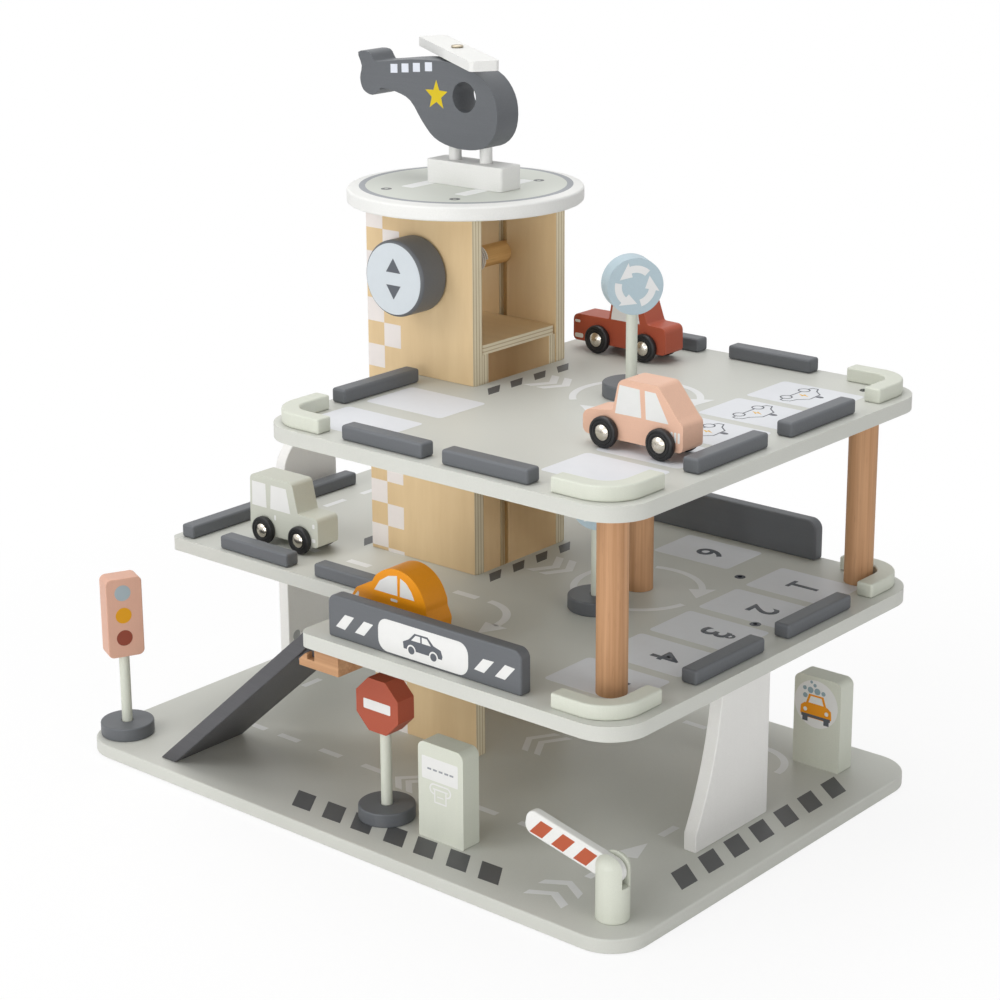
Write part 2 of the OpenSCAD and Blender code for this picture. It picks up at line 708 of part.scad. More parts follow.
module tower_back_wall() {
    color(plywood) placed() difference() {
        translate([tower_x, back_inner, base_top]) cube([tower_w, board_t, tower_top - base_top]);
        translate([tower_cx - guide_w / 2, back_inner - eps, base_top - eps])
            cube([guide_w, guide_d + eps, tower_top - base_top + 2 * eps]);
        deck_housing(tower_x - eps, tower_back - housing_d, middle_z);
        deck_housing(top_back_left - free_gap, tower_back - housing_d, top_z);
        translate([tower_cx, back_inner + bearing_d + free_gap, winder_z]) rotate([90, 0, 0])
            cylinder(h = bearing_d + free_gap + eps, d = shaft_d + 2 * run_gap);
        wall_nut_holes(back_inner, false);
        at_screws(HELIPAD_SCREWS) screw_hole();
        at_screws(TOWER_FOOT_SCREWS) screw_hole();
    }
}

// Supports and posts

module left_support_board() {
    arch_z = middle_top + arch_rise;
    color(paint_white) placed() difference() {
        sideways(left_support_in, board_t) union() {
            translate([left_support_front, base_top]) square([2 * arch_r, arch_z - base_top]);
            translate([arch_y, arch_z]) circle(arch_r, $fn = 96);
        }
        for (nut = LEFT_NUTS) translate([middle_left + eps, nut.y, nut.z]) rotate([0, -90, 0])
            cylinder(h = nut_hole_l + eps, d = nut_d + 2 * glue_gap);
        at_screws(LEFT_FOOT_SCREWS) screw_hole();
        at_screws(LEFT_EDGE_SCREWS) screw_hole();
    }
}

module right_support_board() {
    color(paint_white) placed() difference() {
        sideways(right_support_x, board_t) difference() {
            translate([right_support_front, base_top]) square([right_support_w, lower_storey_h]);
            translate([hollow_y, middle_z]) circle(hollow_r, $fn = 180);
        }
        for (nut = RIGHT_NUTS) translate([right_support_x - eps, nut.y, nut.z]) rotate([0, 90, 0])
            cylinder(h = nut_hole_l + eps, d = nut_d + 2 * glue_gap);
        at_screws(RIGHT_FOOT_SCREWS) screw_hole();
        at_screws(RIGHT_TOP_SCREWS) screw_hole();
    }
}

module post(place, z, h) {
    translate([place.x, place.y, z]) cylinder(h = h, d = post_d);
}

module deck_posts() {
    color(dowel_wood) placed() difference() {
        union() {
            for (place = [front_post, centre_post, back_post]) post(place, middle_top, upper_storey_h);
            post(lower_post, base_top, lower_storey_h);
        }
        at_screws(POST_TOPS) screw_hole();
        at_screws(POST_FEET) screw_hole();
        at_screws(LOWER_POST_TOP) screw_hole();
        at_screws(LOWER_POST_FOOT) screw_hole();
    }
}

module parking_sign_board() {
    color(dark_grey) placed() upright(parking_board_y, board_t)
        rounded_rect(parking_board_x, middle_top, parking_board_x + sign_board_l,
            middle_top + sign_board_h, [0, 0, parking_board_r, parking_board_r]);
}

module rear_wall_board() {
    color(dark_grey) placed() upright(deck_back - board_t, board_t)
        rounded_rect(rear_board_x, middle_top, rear_board_x + sign_board_l,
            middle_top + sign_board_h, [0, 0, rear_board_r, rear_board_r]);
}

module fixing_screws() {
    color(steel) placed() at_screws(ALL_SCREWS) screw();
}

module barrel_nuts() {
    color(steel) placed() {
        for (y = [front_mid, back_mid]) for (x = wall_screws_x) for (z = WALL_NUTS_Z)
            translate([x, y, z]) rotate([90, 0, 0]) barrel([0, 0, 0]);
        for (nut = concat(LEFT_NUTS, RIGHT_NUTS)) translate(nut) rotate([0, 90, 0])
            barrel([0, 0, 90]);
    }
}

// Kerbs

// Straight kerb that starts at [0, 0], along +X or along +Y, with its ends and upper edges rounded
module kerb(length, along_y) {
    turn = along_y ? 90 : 0;
    shift = along_y ? kerb_w : 0;
    translate([shift, 0, 0]) rotate([0, 0, turn]) intersection() {
        linear_extrude(kerb_h) rounded_rect(0, 0, length, kerb_w,
            [kerb_edge_r, kerb_edge_r, kerb_edge_r, kerb_edge_r]);
        sideways(0, length) rounded_rect(0, 0, kerb_w, kerb_h, [0, 0, kerb_edge_r, kerb_edge_r]);
    }
}

// Kerb round a corner that lies at [0, 0], with its legs along +X and +Y
module corner_kerb() {
    inner_r = corner_r - kerb_w;
    linear_extrude(kerb_h) difference() {
        rounded_rect(0, 0, corner_leg, corner_leg, [corner_r, kerb_edge_r, 0, kerb_edge_r]);
        rounded_rect(kerb_w, kerb_w, corner_leg + 1, corner_leg + 1, [inner_r, 0, 0, 0]);
    }
}

module dark_kerbs() {
    color(dark_grey) placed() {
        for (k = TOP_KERBS) translate([k[0], k[1], top_top]) kerb(k[2], k[3]);
        for (k = MIDDLE_KERBS) translate([k[0], k[1], middle_top]) kerb(k[2], k[3]);
    }
}

module corner_kerbs() {
    color(pale_green) placed() {
        for (c = TOP_CORNERS) translate([c[0], c[1], top_top]) rotate([0, 0, c[2]]) corner_kerb();
        for (c = MIDDLE_CORNERS) translate([c[0], c[1], middle_top]) rotate([0, 0, c[2]])
            corner_kerb();
    }
}

// Ramp

module ramp_rest_block() {
    color(dowel_wood) placed() upright(rest_y, rest_l) polygon([
        [rest_x, middle_z - rest_h], [rest_right, middle_z - rest_h], [rest_right, middle_z],
        [groove_right, middle_z], [groove_right, groove_floor], [lip_right, groove_floor],
        [lip_right, lip_top], [hook_bend_x, lip_top], [rest_x, lip_top - rest_bevel_h]]);
}

module ramp_board() {
    color(dark_grey) placed() upright(ramp_y, ramp_w) polygon([
        [ramp_foot_x, base_top], [ramp_foot_x + ramp_v / ramp_slope, base_top],
        [ramp_end_x, ramp_under(ramp_end_x)], [ramp_end_x, middle_top]]);
}

module ramp_hook_strip() {
    strip_x = ramp_end_x - hook_strip_l;
    hook_left = lip_right + free_gap;
    hook_right = groove_right - free_gap;
    color(dark_grey) placed() upright(hook_y, hook_l) polygon([
        [strip_x, ramp_under(strip_x)], [strip_x, ramp_under(strip_x) - hook_v],
        [hook_bend_x, tongue_under], [hook_left, tongue_under], [hook_left, hook_floor],
        [hook_right, hook_floor], [hook_right, tongue_top], [ramp_end_x, tongue_top],
        [ramp_end_x, ramp_under(ramp_end_x)]]);
}

// Winder and lift

module along_winder(y) {
    translate([tower_cx, y, winder_z]) rotate([-90, 0, 0]) children();
}

module winding_knob() {
    color(dark_grey) placed() difference() {
        along_winder(knob_front) turned_disc(2 * knob_r, knob_t, 2.5);
        along_winder(knob_back - knob_socket)
            cylinder(h = knob_socket + eps, d = shaft_d + 2 * glue_gap);
    }
}

module winding_shaft() {
    start = knob_back - knob_socket;
    color(dowel_wood) placed() along_winder(start)
        cylinder(h = back_inner + bearing_d - start, d = shaft_d);
}

// Angles of the winding's points: from the left, where the cord hangs, up and over the shaft
winding_n = round(cord_turns * ring_steps);
function winding_angle(i) = 180 - 360 * i / ring_steps;
function winding_middle(i) = [
    cord_lay_r * cos(winding_angle(i)), cord_pitch * i / ring_steps,
    cord_lay_r * sin(winding_angle(i))];
winding_points = concat([[-cord_lay_r, 0, -cord_straight]],
    [for (i = [0 : winding_n]) winding_middle(i)]);
// Directions across the cord at each point: outwards from the shaft, and along it
function winding_out(i) = let (a = winding_angle(max(0, i - 1))) [cos(a), 0, sin(a)];
function winding_along(i) = let (a = winding_angle(max(0, i - 1)),
    rise = i == 0 ? 0 : cord_pitch / (2 * PI * cord_lay_r))
    unit([-rise * sin(a), 1, rise * cos(a)]);
winding_rings = [for (i = [0 : len(winding_points) - 1]) for (k = [0 : cord_sides - 1])
    let (a = 360 * k / cord_sides)
    winding_points[i] + cord_d / 2 * (cos(a) * winding_out(i) - sin(a) * winding_along(i))];
winding_faces = let (n = cord_sides, last = len(winding_points) - 1) concat(
    [[for (k = [0 : n - 1]) k]],
    [for (i = [0 : last - 1]) for (k = [0 : n - 1]) let (next = (k + 1) % n)
        each [[i * n + k, (i + 1) * n + k, (i + 1) * n + next],
            [i * n + k, (i + 1) * n + next, i * n + next]]],
    [[for (k = [n - 1 : -1 : 0]) last * n + k]]);
// Least gap of the winding to itself, between points more than half a turn apart
winding_gap = min([for (i = [0 : 3 : winding_n - ring_steps / 2])
    for (j = [i + ring_steps / 2 : winding_n]) norm(winding_middle(i) - winding_middle(j))]) - cord_d;
echo(winding_gap = winding_gap);

module cord_winding() {
    color(cord_white) placed() translate([tower_cx, cord_y, winder_z])
        polyhedron(points = winding_rings, faces = winding_faces, convexity = 8);
}

module lift_cord() {
    cord_top = winder_z - cord_straight - free_gap;
    color(cord_white) placed() translate([cord_x, cord_y, cabin_top])
        cylinder(h = cord_top - cabin_top, d = cord_d, $fn = 16);
}

module cabin_plate() {
    linear_extrude(cabin_t) rounded_rect(cabin_x, cabin_front, cabin_x + cabin_l, cabin_back,
        [cabin_r, cabin_r, cabin_r, cabin_r]);
}

module cabin_roof() {
    color(plywood) placed() translate([0, 0, cabin_top - cabin_t]) cabin_plate();
}

module cabin_floor() {
    color(plywood) placed() translate([0, 0, cabin_bottom]) cabin_plate();
}

module cabin_pegs(grow) {
    reach = cabin_t + cabin_gap + peg_in;
    for (z = [cabin_bottom + peg_ends, cabin_top - peg_ends]) {
        translate([tower_cx, cabin_front + cabin_t, z]) rotate([90, 0, 0])
            cylinder(h = reach, d = peg_d + grow);
        translate([tower_cx, cabin_back - cabin_t, z]) rotate([-90, 0, 0])
            cylinder(h = reach, d = peg_d + grow);
    }
}

module cabin_sides() {
    color(plywood) placed() difference() {
        for (y = [cabin_front, cabin_back - cabin_t]) translate([cabin_x, y, cabin_bottom + cabin_t])
            cube([cabin_l, cabin_t, cabin_h - 2 * cabin_t]);
        cabin_pegs(2 * glue_gap);
    }
}

module cabin_guide_pegs() {
    color(dowel_wood) placed() cabin_pegs(0);
}

// Barrier

module barrier_pin_shape(grow) {
    translate([barrier_x, barrier_y + barrier_post_w / 2, pivot_z]) rotate([90, 0, 0])
        cylinder(h = barrier_post_w, d = pin_d + grow, $fn = 32);
}

module barrier_post() {
    half_l = barrier_post_l / 2;
    half_w = barrier_post_w / 2;
    edge_r = 4;
    color(pale_green) placed() difference() {
        intersection() {
            upright(barrier_y - half_w, barrier_post_w) union() {
                translate([barrier_x - half_l, base_top])
                    square([barrier_post_l, barrier_head_z - base_top]);
                translate([barrier_x, barrier_head_z]) circle(half_l);
            }
            translate([0, 0, base_top]) linear_extrude(barrier_head_z + half_l)
                rounded_rect(barrier_x - half_l, barrier_y - half_w, barrier_x + half_l,
                    barrier_y + half_w, [edge_r, edge_r, edge_r, edge_r]);
        }
        translate([barrier_x - barrier_post_l, barrier_y - slot_w / 2, slot_floor])
            cube([2 * barrier_post_l, slot_w, barrier_head_z + half_l]);
        barrier_pin_shape(2 * glue_gap);
    }
}

module barrier_arm() {
    color(paint_white) placed() translate([barrier_x, barrier_y, pivot_z])
        rotate([0, arm_angle, 0]) upright(-arm_t / 2, arm_t) difference() {
            union() {
                rounded_rect(-arm_l, -arm_w / 2, 0, arm_w / 2, [6, 0, 0, 6]);
                circle(arm_w / 2);
            }
            circle(d = pin_d + 2 * run_gap, $fn = 32);
        }
}

module barrier_pin() {
    color(steel) placed() barrier_pin_shape(0);
}

// Signs

module sign_pole_shape(pole_l, grow) {
    translate([0, 0, board_t - sign_socket])
        cylinder(h = sign_socket + pole_l + head_socket, d = pole_d + grow);
}

module sign_base(place, pole_l) {
    color(dark_grey) placed() translate(place) difference() {
        turned_disc(sign_base_d, board_t, 1);
        sign_pole_shape(pole_l, 2 * glue_gap);
    }
}

module sign_pole(place, pole_l) {
    color(pale_green) placed() translate(place) sign_pole_shape(pole_l, 0);
}

// A head that is drawn as [x, z] with its lowest point at z = 0
module sign_head(place, pole_l, turn, tint) {
    color(tint) placed() translate(place) difference() {
        rotate([0, 0, turn]) translate([0, 0, board_t + pole_l]) upright(-sign_t / 2, sign_t)
            children();
        sign_pole_shape(pole_l, 2 * glue_gap);
    }
}

module traffic_light_head() {
    sign_head(light_place, light_pole_l, light_turn, light_pink)
        rounded_rect(-light_w / 2, 0, light_w / 2, light_h, [4, 4, 4, 4]);
}

module traffic_light_pole() { sign_pole(light_place, light_pole_l); }

module traffic_light_base() { sign_base(light_place, light_pole_l); }

module octagon_sign_head() {
    sign_head(octagon_place, octagon_pole_l, 0, sign_red)
        translate([0, octagon_r * cos(22.5)]) rotate(22.5) circle(octagon_r, $fn = 8);
}

module octagon_sign_pole() { sign_pole(octagon_place, octagon_pole_l); }

module octagon_sign_base() { sign_base(octagon_place, octagon_pole_l); }

module roundabout_head(place) {
    sign_head(place, roundabout_pole_l, round_turn, blue_grey)
        translate([0, roundabout_r]) circle(roundabout_r, $fn = 64);
}

module upper_roundabout_sign_head() { roundabout_head(upper_round_place); }

module upper_roundabout_sign_pole() { sign_pole(upper_round_place, roundabout_pole_l); }

module upper_roundabout_sign_base() { sign_base(upper_round_place, roundabout_pole_l); }

module middle_roundabout_sign_head() { roundabout_head(middle_round_place); }

module middle_roundabout_sign_pole() { sign_pole(middle_round_place, roundabout_pole_l); }

module middle_roundabout_sign_base() { sign_base(middle_round_place, roundabout_pole_l); }

module standing_block(place, length, height) {
    color(pale_green) placed() translate(place) upright(0, block_t)
        rounded_rect(0, 0, length, height, [1, 1, block_r, block_r]);
}

module ticket_machine() { standing_block(ticket_place, ticket_l, ticket_h); }

module wash_sign_block() { standing_block(wash_place, wash_l, wash_h); }

// Helicopter

module heli_legs_shape(grow) {
    for (x = leg_x) translate([x, heli_y, landing_top - leg_socket])
        cylinder(h = leg_socket + heli_belly + leg_in_body - landing_top, d = heli_leg_d + grow);
}

module rotor_screw_hole() {
    translate([rotor_x, heli_y, rotor_z - rotor_screw_l]) cylinder(
        h = rotor_screw_l + rotor_t + eps, d = rotor_screw_d + 2 * run_gap);
}

module helicopter_body() {
    color(dark_grey) placed() difference() {
        translate([heli_x, 0, heli_belly]) upright(heli_y - heli_t / 2, heli_t)
            polygon(smooth(HELI_OUTLINE, 3));
        translate([heli_x + 1.8, heli_y + heli_t, heli_belly + 32.8]) rotate([90, 0, 0])
            cylinder(h = 2 * heli_t, d = heli_hole_d);
        heli_legs_shape(2 * glue_gap);
        rotor_screw_hole();
    }
}

module helicopter_legs() { color(paint_white) placed() heli_legs_shape(0); }

module landing_block() {
    color(paint_white) placed() difference() {
        translate([0, 0, helipad_top]) linear_extrude(landing_h) rounded_rect(
            heli_x - landing_l / 2, heli_y - landing_w / 2,
            heli_x + landing_l / 2, heli_y + landing_w / 2, [2, 2, 2, 2]);
        heli_legs_shape(2 * glue_gap);
    }
}

module rotor() {
    color(paint_white) placed() difference() {
        translate([rotor_x, heli_y, rotor_z]) rotate([0, 0, rotor_angle]) linear_extrude(rotor_t)
            rounded_rect(-rotor_l / 2, -rotor_w / 2, rotor_l / 2, rotor_w / 2,
                [rotor_r, rotor_r, rotor_r, rotor_r]);
        rotor_screw_hole();
    }
}

module rotor_screw() {
    color(steel) placed() translate([rotor_x, heli_y, 0]) {
        translate([0, 0, rotor_z - rotor_screw_l + 1])
            cylinder(h = rotor_screw_l + rotor_t + 0.1, d = rotor_screw_d);
        translate([0, 0, rotor_z + rotor_t + 0.1]) turned_disc(rotor_head_d, rotor_head_h, 1);
        translate([0, 0, rotor_z - 0.1 - washer_t]) difference() {
            cylinder(h = washer_t, d = washer_d);
            translate([0, 0, -eps]) cylinder(h = 2 * eps + washer_t, d = rotor_screw_d + 2 * glue_gap);
        }
    }
}

// Cars

module axle_hole(x, place) {
    translate([x, place.y - eps, place.z + wheel_d / 2 + wheel_lift]) rotate([-90, 0, 0])
        cylinder(h = car_w + 2 * eps, d = axle_d + 2 * run_gap, $fn = 32);
}

// A car's body; side is 1 where the car runs to the right of its nose and -1 where to the left
module car_body(tint, outline, place, side, wheels) {
    color(tint) placed() difference() {
        translate([place.x, place.y, place.z]) upright(0, car_w)
            polygon([for (p = rounded(outline)) [side * p.x, p.y]]);
        for (w = wheels) axle_hole(place.x + side * w, place);
    }
}

module wheel() {
    difference() {
        turned_disc(wheel_d, wheel_t, tyre_r);
        translate([0, 0, -eps]) cylinder(h = wheel_t + 2 * eps, d = axle_d + 2 * glue_gap, $fn = 32);
    }
}

// An axle with a wheel and a hub cap at each end, as three kinds of piece
module axle_set(x, place) {
    track = car_w + 2 * (wheel_gap + wheel_t);
    color(steel) placed()
        translate([x, place.y + car_w / 2, place.z + wheel_d / 2 + wheel_lift])
            rotate([90, 0, 0]) {
                translate([0, 0, -track / 2]) cylinder(h = track, d = axle_d, $fn = 32);
                for (turn = [0, 180]) rotate([turn, 0, 0]) {
                    translate([0, 0, track / 2 - wheel_t]) wheel();
                    translate([0, 0, track / 2 + glue_gap]) turned_disc(cap_d, cap_h, 1.3);
                }
            }
}

module red_car_body() { car_body([0.58, 0.21, 0.17], RED_CAR, red_place, 1, red_wheels); }

module red_car_front_wheels() { axle_set(red_place.x + red_wheels[0], red_place); }

module red_car_rear_wheels() { axle_set(red_place.x + red_wheels[1], red_place); }

module pink_car_body() { car_body([0.93, 0.67, 0.58], PINK_CAR, pink_place, 1, pink_wheels); }

module pink_car_front_wheels() { axle_set(pink_place.x + pink_wheels[0], pink_place); }

module pink_car_rear_wheels() { axle_set(pink_place.x + pink_wheels[1], pink_place); }

module green_car_body() { car_body([0.85, 0.86, 0.82], GREEN_CAR, green_car_place, -1, green_car_wheels); }

module green_car_front_wheels() { axle_set(green_car_place.x - green_car_wheels[0], green_car_place); }

module green_car_rear_wheels() { axle_set(green_car_place.x - green_car_wheels[1], green_car_place); }

module orange_car_body() {
    car_body([0.95, 0.66, 0.25], ORANGE_CAR, orange_car_place, 1, orange_car_wheels);
}

module orange_car_front_wheels() { axle_set(orange_car_place.x + orange_car_wheels[0], orange_car_place); }

module orange_car_rear_wheels() { axle_set(orange_car_place.x + orange_car_wheels[1], orange_car_place); }

base_board();
middle_deck();
top_deck();
helipad_disc();
tower_front_wall();
tower_back_wall();
left_support_board();
right_support_board();
deck_posts();
parking_sign_board();
rear_wall_board();
dark_kerbs();
corner_kerbs();
fixing_screws();
barrel_nuts();
ramp_rest_block();
ramp_board();
ramp_hook_strip();
winding_knob();
winding_shaft();
cord_winding();
lift_cord();
cabin_roof();
cabin_floor();
cabin_sides();
cabin_guide_pegs();
barrier_post();
barrier_arm();
barrier_pin();
traffic_light_head();
traffic_light_pole();
traffic_light_base();
octagon_sign_head();
octagon_sign_pole();
octagon_sign_base();
upper_roundabout_sign_head();
upper_roundabout_sign_pole();
upper_roundabout_sign_base();
middle_roundabout_sign_head();
middle_roundabout_sign_pole();
middle_roundabout_sign_base();
ticket_machine();
wash_sign_block();
helicopter_body();
helicopter_legs();
landing_block();
rotor();
rotor_screw();
red_car_body();
red_car_front_wheels();
red_car_rear_wheels();
pink_car_body();
pink_car_front_wheels();
pink_car_rear_wheels();
green_car_body();
green_car_front_wheels();
green_car_rear_wheels();
orange_car_body();
orange_car_front_wheels();
orange_car_rear_wheels();
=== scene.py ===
# %% [markdown]
# # A toy parking garage, dressed piece by piece
# The real toy is a child's parking garage: painted boards on three levels round a plywood
# lift tower, with four cars, loose signs, a hook-on ramp and a helicopter on the roof.
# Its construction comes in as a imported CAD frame. This lesson adds what that leaves out:
# eased edges, paint, veneer, turned wheels, a twisted cord and printed marks.

# %% The frame
import json
import math

import bmesh
import bpy
from mathutils import Matrix, Vector


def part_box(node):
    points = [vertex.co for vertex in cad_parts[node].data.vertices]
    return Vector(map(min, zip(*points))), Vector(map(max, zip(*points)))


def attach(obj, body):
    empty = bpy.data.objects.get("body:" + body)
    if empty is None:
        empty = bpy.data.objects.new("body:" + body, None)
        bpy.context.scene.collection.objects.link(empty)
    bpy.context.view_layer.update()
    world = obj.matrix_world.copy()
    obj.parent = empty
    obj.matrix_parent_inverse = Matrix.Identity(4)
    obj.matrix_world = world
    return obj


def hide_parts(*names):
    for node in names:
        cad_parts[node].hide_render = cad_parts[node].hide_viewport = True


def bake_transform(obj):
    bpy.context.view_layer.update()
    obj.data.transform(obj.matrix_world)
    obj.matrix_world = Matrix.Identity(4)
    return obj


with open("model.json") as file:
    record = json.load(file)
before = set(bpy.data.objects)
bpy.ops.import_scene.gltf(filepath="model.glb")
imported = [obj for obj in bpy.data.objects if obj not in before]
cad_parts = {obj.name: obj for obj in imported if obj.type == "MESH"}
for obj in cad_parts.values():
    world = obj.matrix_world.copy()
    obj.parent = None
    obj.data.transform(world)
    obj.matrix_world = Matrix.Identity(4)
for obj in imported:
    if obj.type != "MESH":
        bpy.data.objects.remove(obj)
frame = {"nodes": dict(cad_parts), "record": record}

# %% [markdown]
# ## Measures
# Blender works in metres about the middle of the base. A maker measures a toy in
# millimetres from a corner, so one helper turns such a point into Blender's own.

MM = 0.001
BASE_LONG, BASE_DEEP = 450, 313.5
BASE_TOP, MIDDLE_TOP, TOP_TOP, PAD_TOP = 9, 134, 257.7, 372.8
corner_shift = Vector((BASE_LONG / 2, BASE_DEEP / 2, 0))
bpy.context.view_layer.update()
scene = bpy.context.scene
nodes = frame["nodes"]
body_of = {node: body for body, held in frame["record"]["behaviour"]["bodies"].items()
           for node in held}


def at(x, y, z):
    """Blender's point for millimetres from the base's front left corner."""
    return (Vector((x, y, z)) - corner_shift) * MM


def span(node):
    """Lowest and highest corner of a CAD node, in those millimetres."""
    low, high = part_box(node)
    return low / MM + corner_shift, high / MM + corner_shift


def middle_of(node):
    low, high = span(node)
    return (low + high) / 2


# %% [markdown]
# ## Camera
# A product picture like this is taken with a long lens from above the front right corner.
# Azimuth, elevation and a slight roll were fitted to the edges of the boards. The lens
# shift takes the picture's centre off the axis, as in a cropped photograph.

# %% Camera
AZIMUTH, ELEVATION, ROLL = (math.radians(a) for a in (41.734678, 16.019586, -0.729206))
CAMERA_AT, FOCAL, SENSOR, SHIFT = (0.9249, -1.0811, 0.6410), 85.0656, 36, (0.05897, -0.07856)
backwards = Vector((math.sin(AZIMUTH) * math.cos(ELEVATION),
                    -math.cos(AZIMUTH) * math.cos(ELEVATION), math.sin(ELEVATION)))
level = Vector((math.cos(AZIMUTH), math.sin(AZIMUTH), 0))
upright = backwards.cross(level)
to_right = level * math.cos(ROLL) + upright * math.sin(ROLL)
to_top = upright * math.cos(ROLL) - level * math.sin(ROLL)
lens = bpy.data.cameras.new("camera")
lens.sensor_width, lens.lens, lens.clip_end = SENSOR, FOCAL, 20
lens.shift_x, lens.shift_y = SHIFT
camera = bpy.data.objects.new("camera", lens)
scene.collection.objects.link(camera)
camera.matrix_world = (Matrix.Translation(CAMERA_AT)
                       @ Matrix((to_right, to_top, backwards)).transposed().to_4x4())
scene.camera = camera
scene.view_settings.view_transform = "Standard"
print("camera at", [round(v, 3) for v in camera.matrix_world.translation])

# %% [markdown]
# ## Shader expressions
# A procedural finish is a sum: a little drift of tone, a little grain, a little speckle.
# Written as node after node such a sum is hard to read. One small class wraps a socket, so
# that Python's own signs add the Math nodes. Another one makes every other kind of node.

# %% Shader expressions
def sign(operation):
    """What a sign does between a Wire and another term, and its reflected form."""
    return (lambda self, other: self.reckon(operation, self, other),
            lambda self, other: self.reckon(operation, other, self))


class Wire:
    """A shader socket that can be reckoned with."""

    def __init__(self, recipe, socket):
        self.recipe, self.socket = recipe, socket

    def reckon(self, operation, *terms):
        return self.recipe.node("ShaderNodeMath", {"operation": operation},
                                dict(enumerate(terms)))

    __add__, __radd__ = sign("ADD")
    __sub__, __rsub__ = sign("SUBTRACT")
    __mul__, __rmul__ = sign("MULTIPLY")
    __lt__ = sign("LESS_THAN")[0]


class Recipe:
    """A shader tree, filled from expressions."""

    def __init__(self, owner):
        owner.use_nodes = True
        self.tree = owner.node_tree
        self.tree.nodes.clear()

    def node(self, kind, settings=None, inputs=None, output=0):
        made = self.tree.nodes.new(kind)
        for name, value in (settings or {}).items():
            setattr(made, name, value)
        for name, value in (inputs or {}).items():
            if isinstance(value, Wire):
                self.tree.links.new(value.socket, made.inputs[name])
            else:
                made.inputs[name].default_value = value
        return Wire(self, made.outputs[output]) if made.outputs else None

    def place(self, output="Object"):
        return self.node("ShaderNodeTexCoord", output=output)

    def stretched(self, vector, scale):
        return self.node("ShaderNodeVectorMath", {"operation": "MULTIPLY"},
                         {0: vector, 1: scale})

    def noise(self, vector, scale=1.0, detail=2.0, roughness=0.5):
        return self.node("ShaderNodeTexNoise", None, {
            "Vector": vector, "Scale": scale, "Detail": detail, "Roughness": roughness})

    def one_axis(self, vector, axis):
        return self.node("ShaderNodeSeparateXYZ", None, {0: vector}, axis)

    def mixed(self, share, first, second):
        return self.node("ShaderNodeMix", {"data_type": "RGBA"},
                         {0: share, 6: first, 7: second}, 2)

    def sharpened(self, value, low, high):
        return self.node("ShaderNodeMapRange", None, {
            "Value": value, "From Min": low, "From Max": high})

    def finish(self, colour, roughness, height, depth, **fixed):
        normal = self.node("ShaderNodeBump", None, {
            "Height": height, "Strength": 1.0, "Distance": depth * MM})
        sockets = {"Base Color": colour, "Roughness": roughness, "Normal": normal}
        sockets.update({name.replace("_", " "): value for name, value in fixed.items()})
        shader = self.node("ShaderNodeBsdfPrincipled", None, sockets)
        self.node("ShaderNodeOutputMaterial", None, {"Surface": shader})


def new_material(name):
    """A material, its recipe, and the place on the piece in metres."""
    material = bpy.data.materials.new(name)
    mix = Recipe(material)
    return material, mix, mix.place()


def pigment(*parts, tint=1.0):
    """A colour mixed as 0 to 255 parts of red, green and blue, in linear light."""
    linear = [((p / 255 + 0.055) / 1.055) ** 2.4 if p > 10 else p / 255 / 12.92 for p in parts]
    return tuple(min(1.0, c * tint) for c in linear) + (1.0,)


print("mid grey is", round(pigment(188, 188, 188)[0], 3), "in linear light")

# %% [markdown]
# ## Light
# The picture is lit for a catalogue: a large soft lamp in front on the left, one above, one
# low in front, a weak one on the right, and the white studio round them. The fronts of the
# pieces are the brightest, the ends on the right are a step darker, and shadows are faint.
# Light adds up, so a picture with each lamp alone tells how strong each should be. The
# white behind the toy is what the camera sees of the world, and not more light on it.

# %% Light
def soft_lamp(name, place, aim_height, size, watts):
    light = bpy.data.lights.new(name, "AREA")
    light.shape, light.size, light.energy = "SQUARE", size, watts
    lamp = bpy.data.objects.new(name, light)
    scene.collection.objects.link(lamp)
    lamp.location = place
    aim = Vector((0, 0, aim_height)) - lamp.location
    lamp.rotation_euler = aim.to_track_quat("-Z", "Y").to_euler()


soft_lamp("window_lamp", (-1.1, -1.9, 1.7), 0.2, 1.5, 20)
soft_lamp("top_lamp", (-0.3, 0.2, 2.4), 0.2, 1.8, 30)
soft_lamp("low_lamp", (0.5, -2.2, 0.3), 0.2, 1.0, 19)
soft_lamp("side_lamp", (2.2, -0.4, 0.75), 0.3, 1.2, 9)
STUDIO_LIGHT = 0.3
studio = bpy.data.worlds.new("studio")
scene.world = studio
air = Recipe(studio)
camera_ray, glossy_ray, clear_ray = [
    air.node("ShaderNodeLightPath", output=ray)
    for ray in ("Is Camera Ray", "Is Glossy Ray", "Is Transmission Ray")]
seen = camera_ray + glossy_ray + clear_ray
backdrop = seen.reckon("MINIMUM", seen, 1)
strength = STUDIO_LIGHT + (1 - STUDIO_LIGHT) * backdrop
sky = air.node("ShaderNodeBackground", None, {"Color": (1, 1, 1, 1), "Strength": strength})
air.node("ShaderNodeOutputWorld", None, {"Surface": sky})
print("the studio lights the toy with", STUDIO_LIGHT, "and looks like 1")

# %% [markdown]
# The floor is one large round sheet. Lit paper alone would come out grey beside the white
# backdrop, and plain white alone would take no shadow. So most of what the camera sees is
# plain white, and the rest is lit paper. Farther out the sheet turns all white.

# %% Floor
FLOOR_R, FLOOR_Z, FADE = 6, -0.0005, (0.32, 0.6)  # all in metres
PLAIN_WHITE = 0.86


def made_piece(name, bm, material):
    mesh = bpy.data.meshes.new(name)
    bm.to_mesh(mesh)
    bm.free()
    piece = bpy.data.objects.new(name, mesh)
    scene.collection.objects.link(piece)
    mesh.materials.append(material)
    return piece


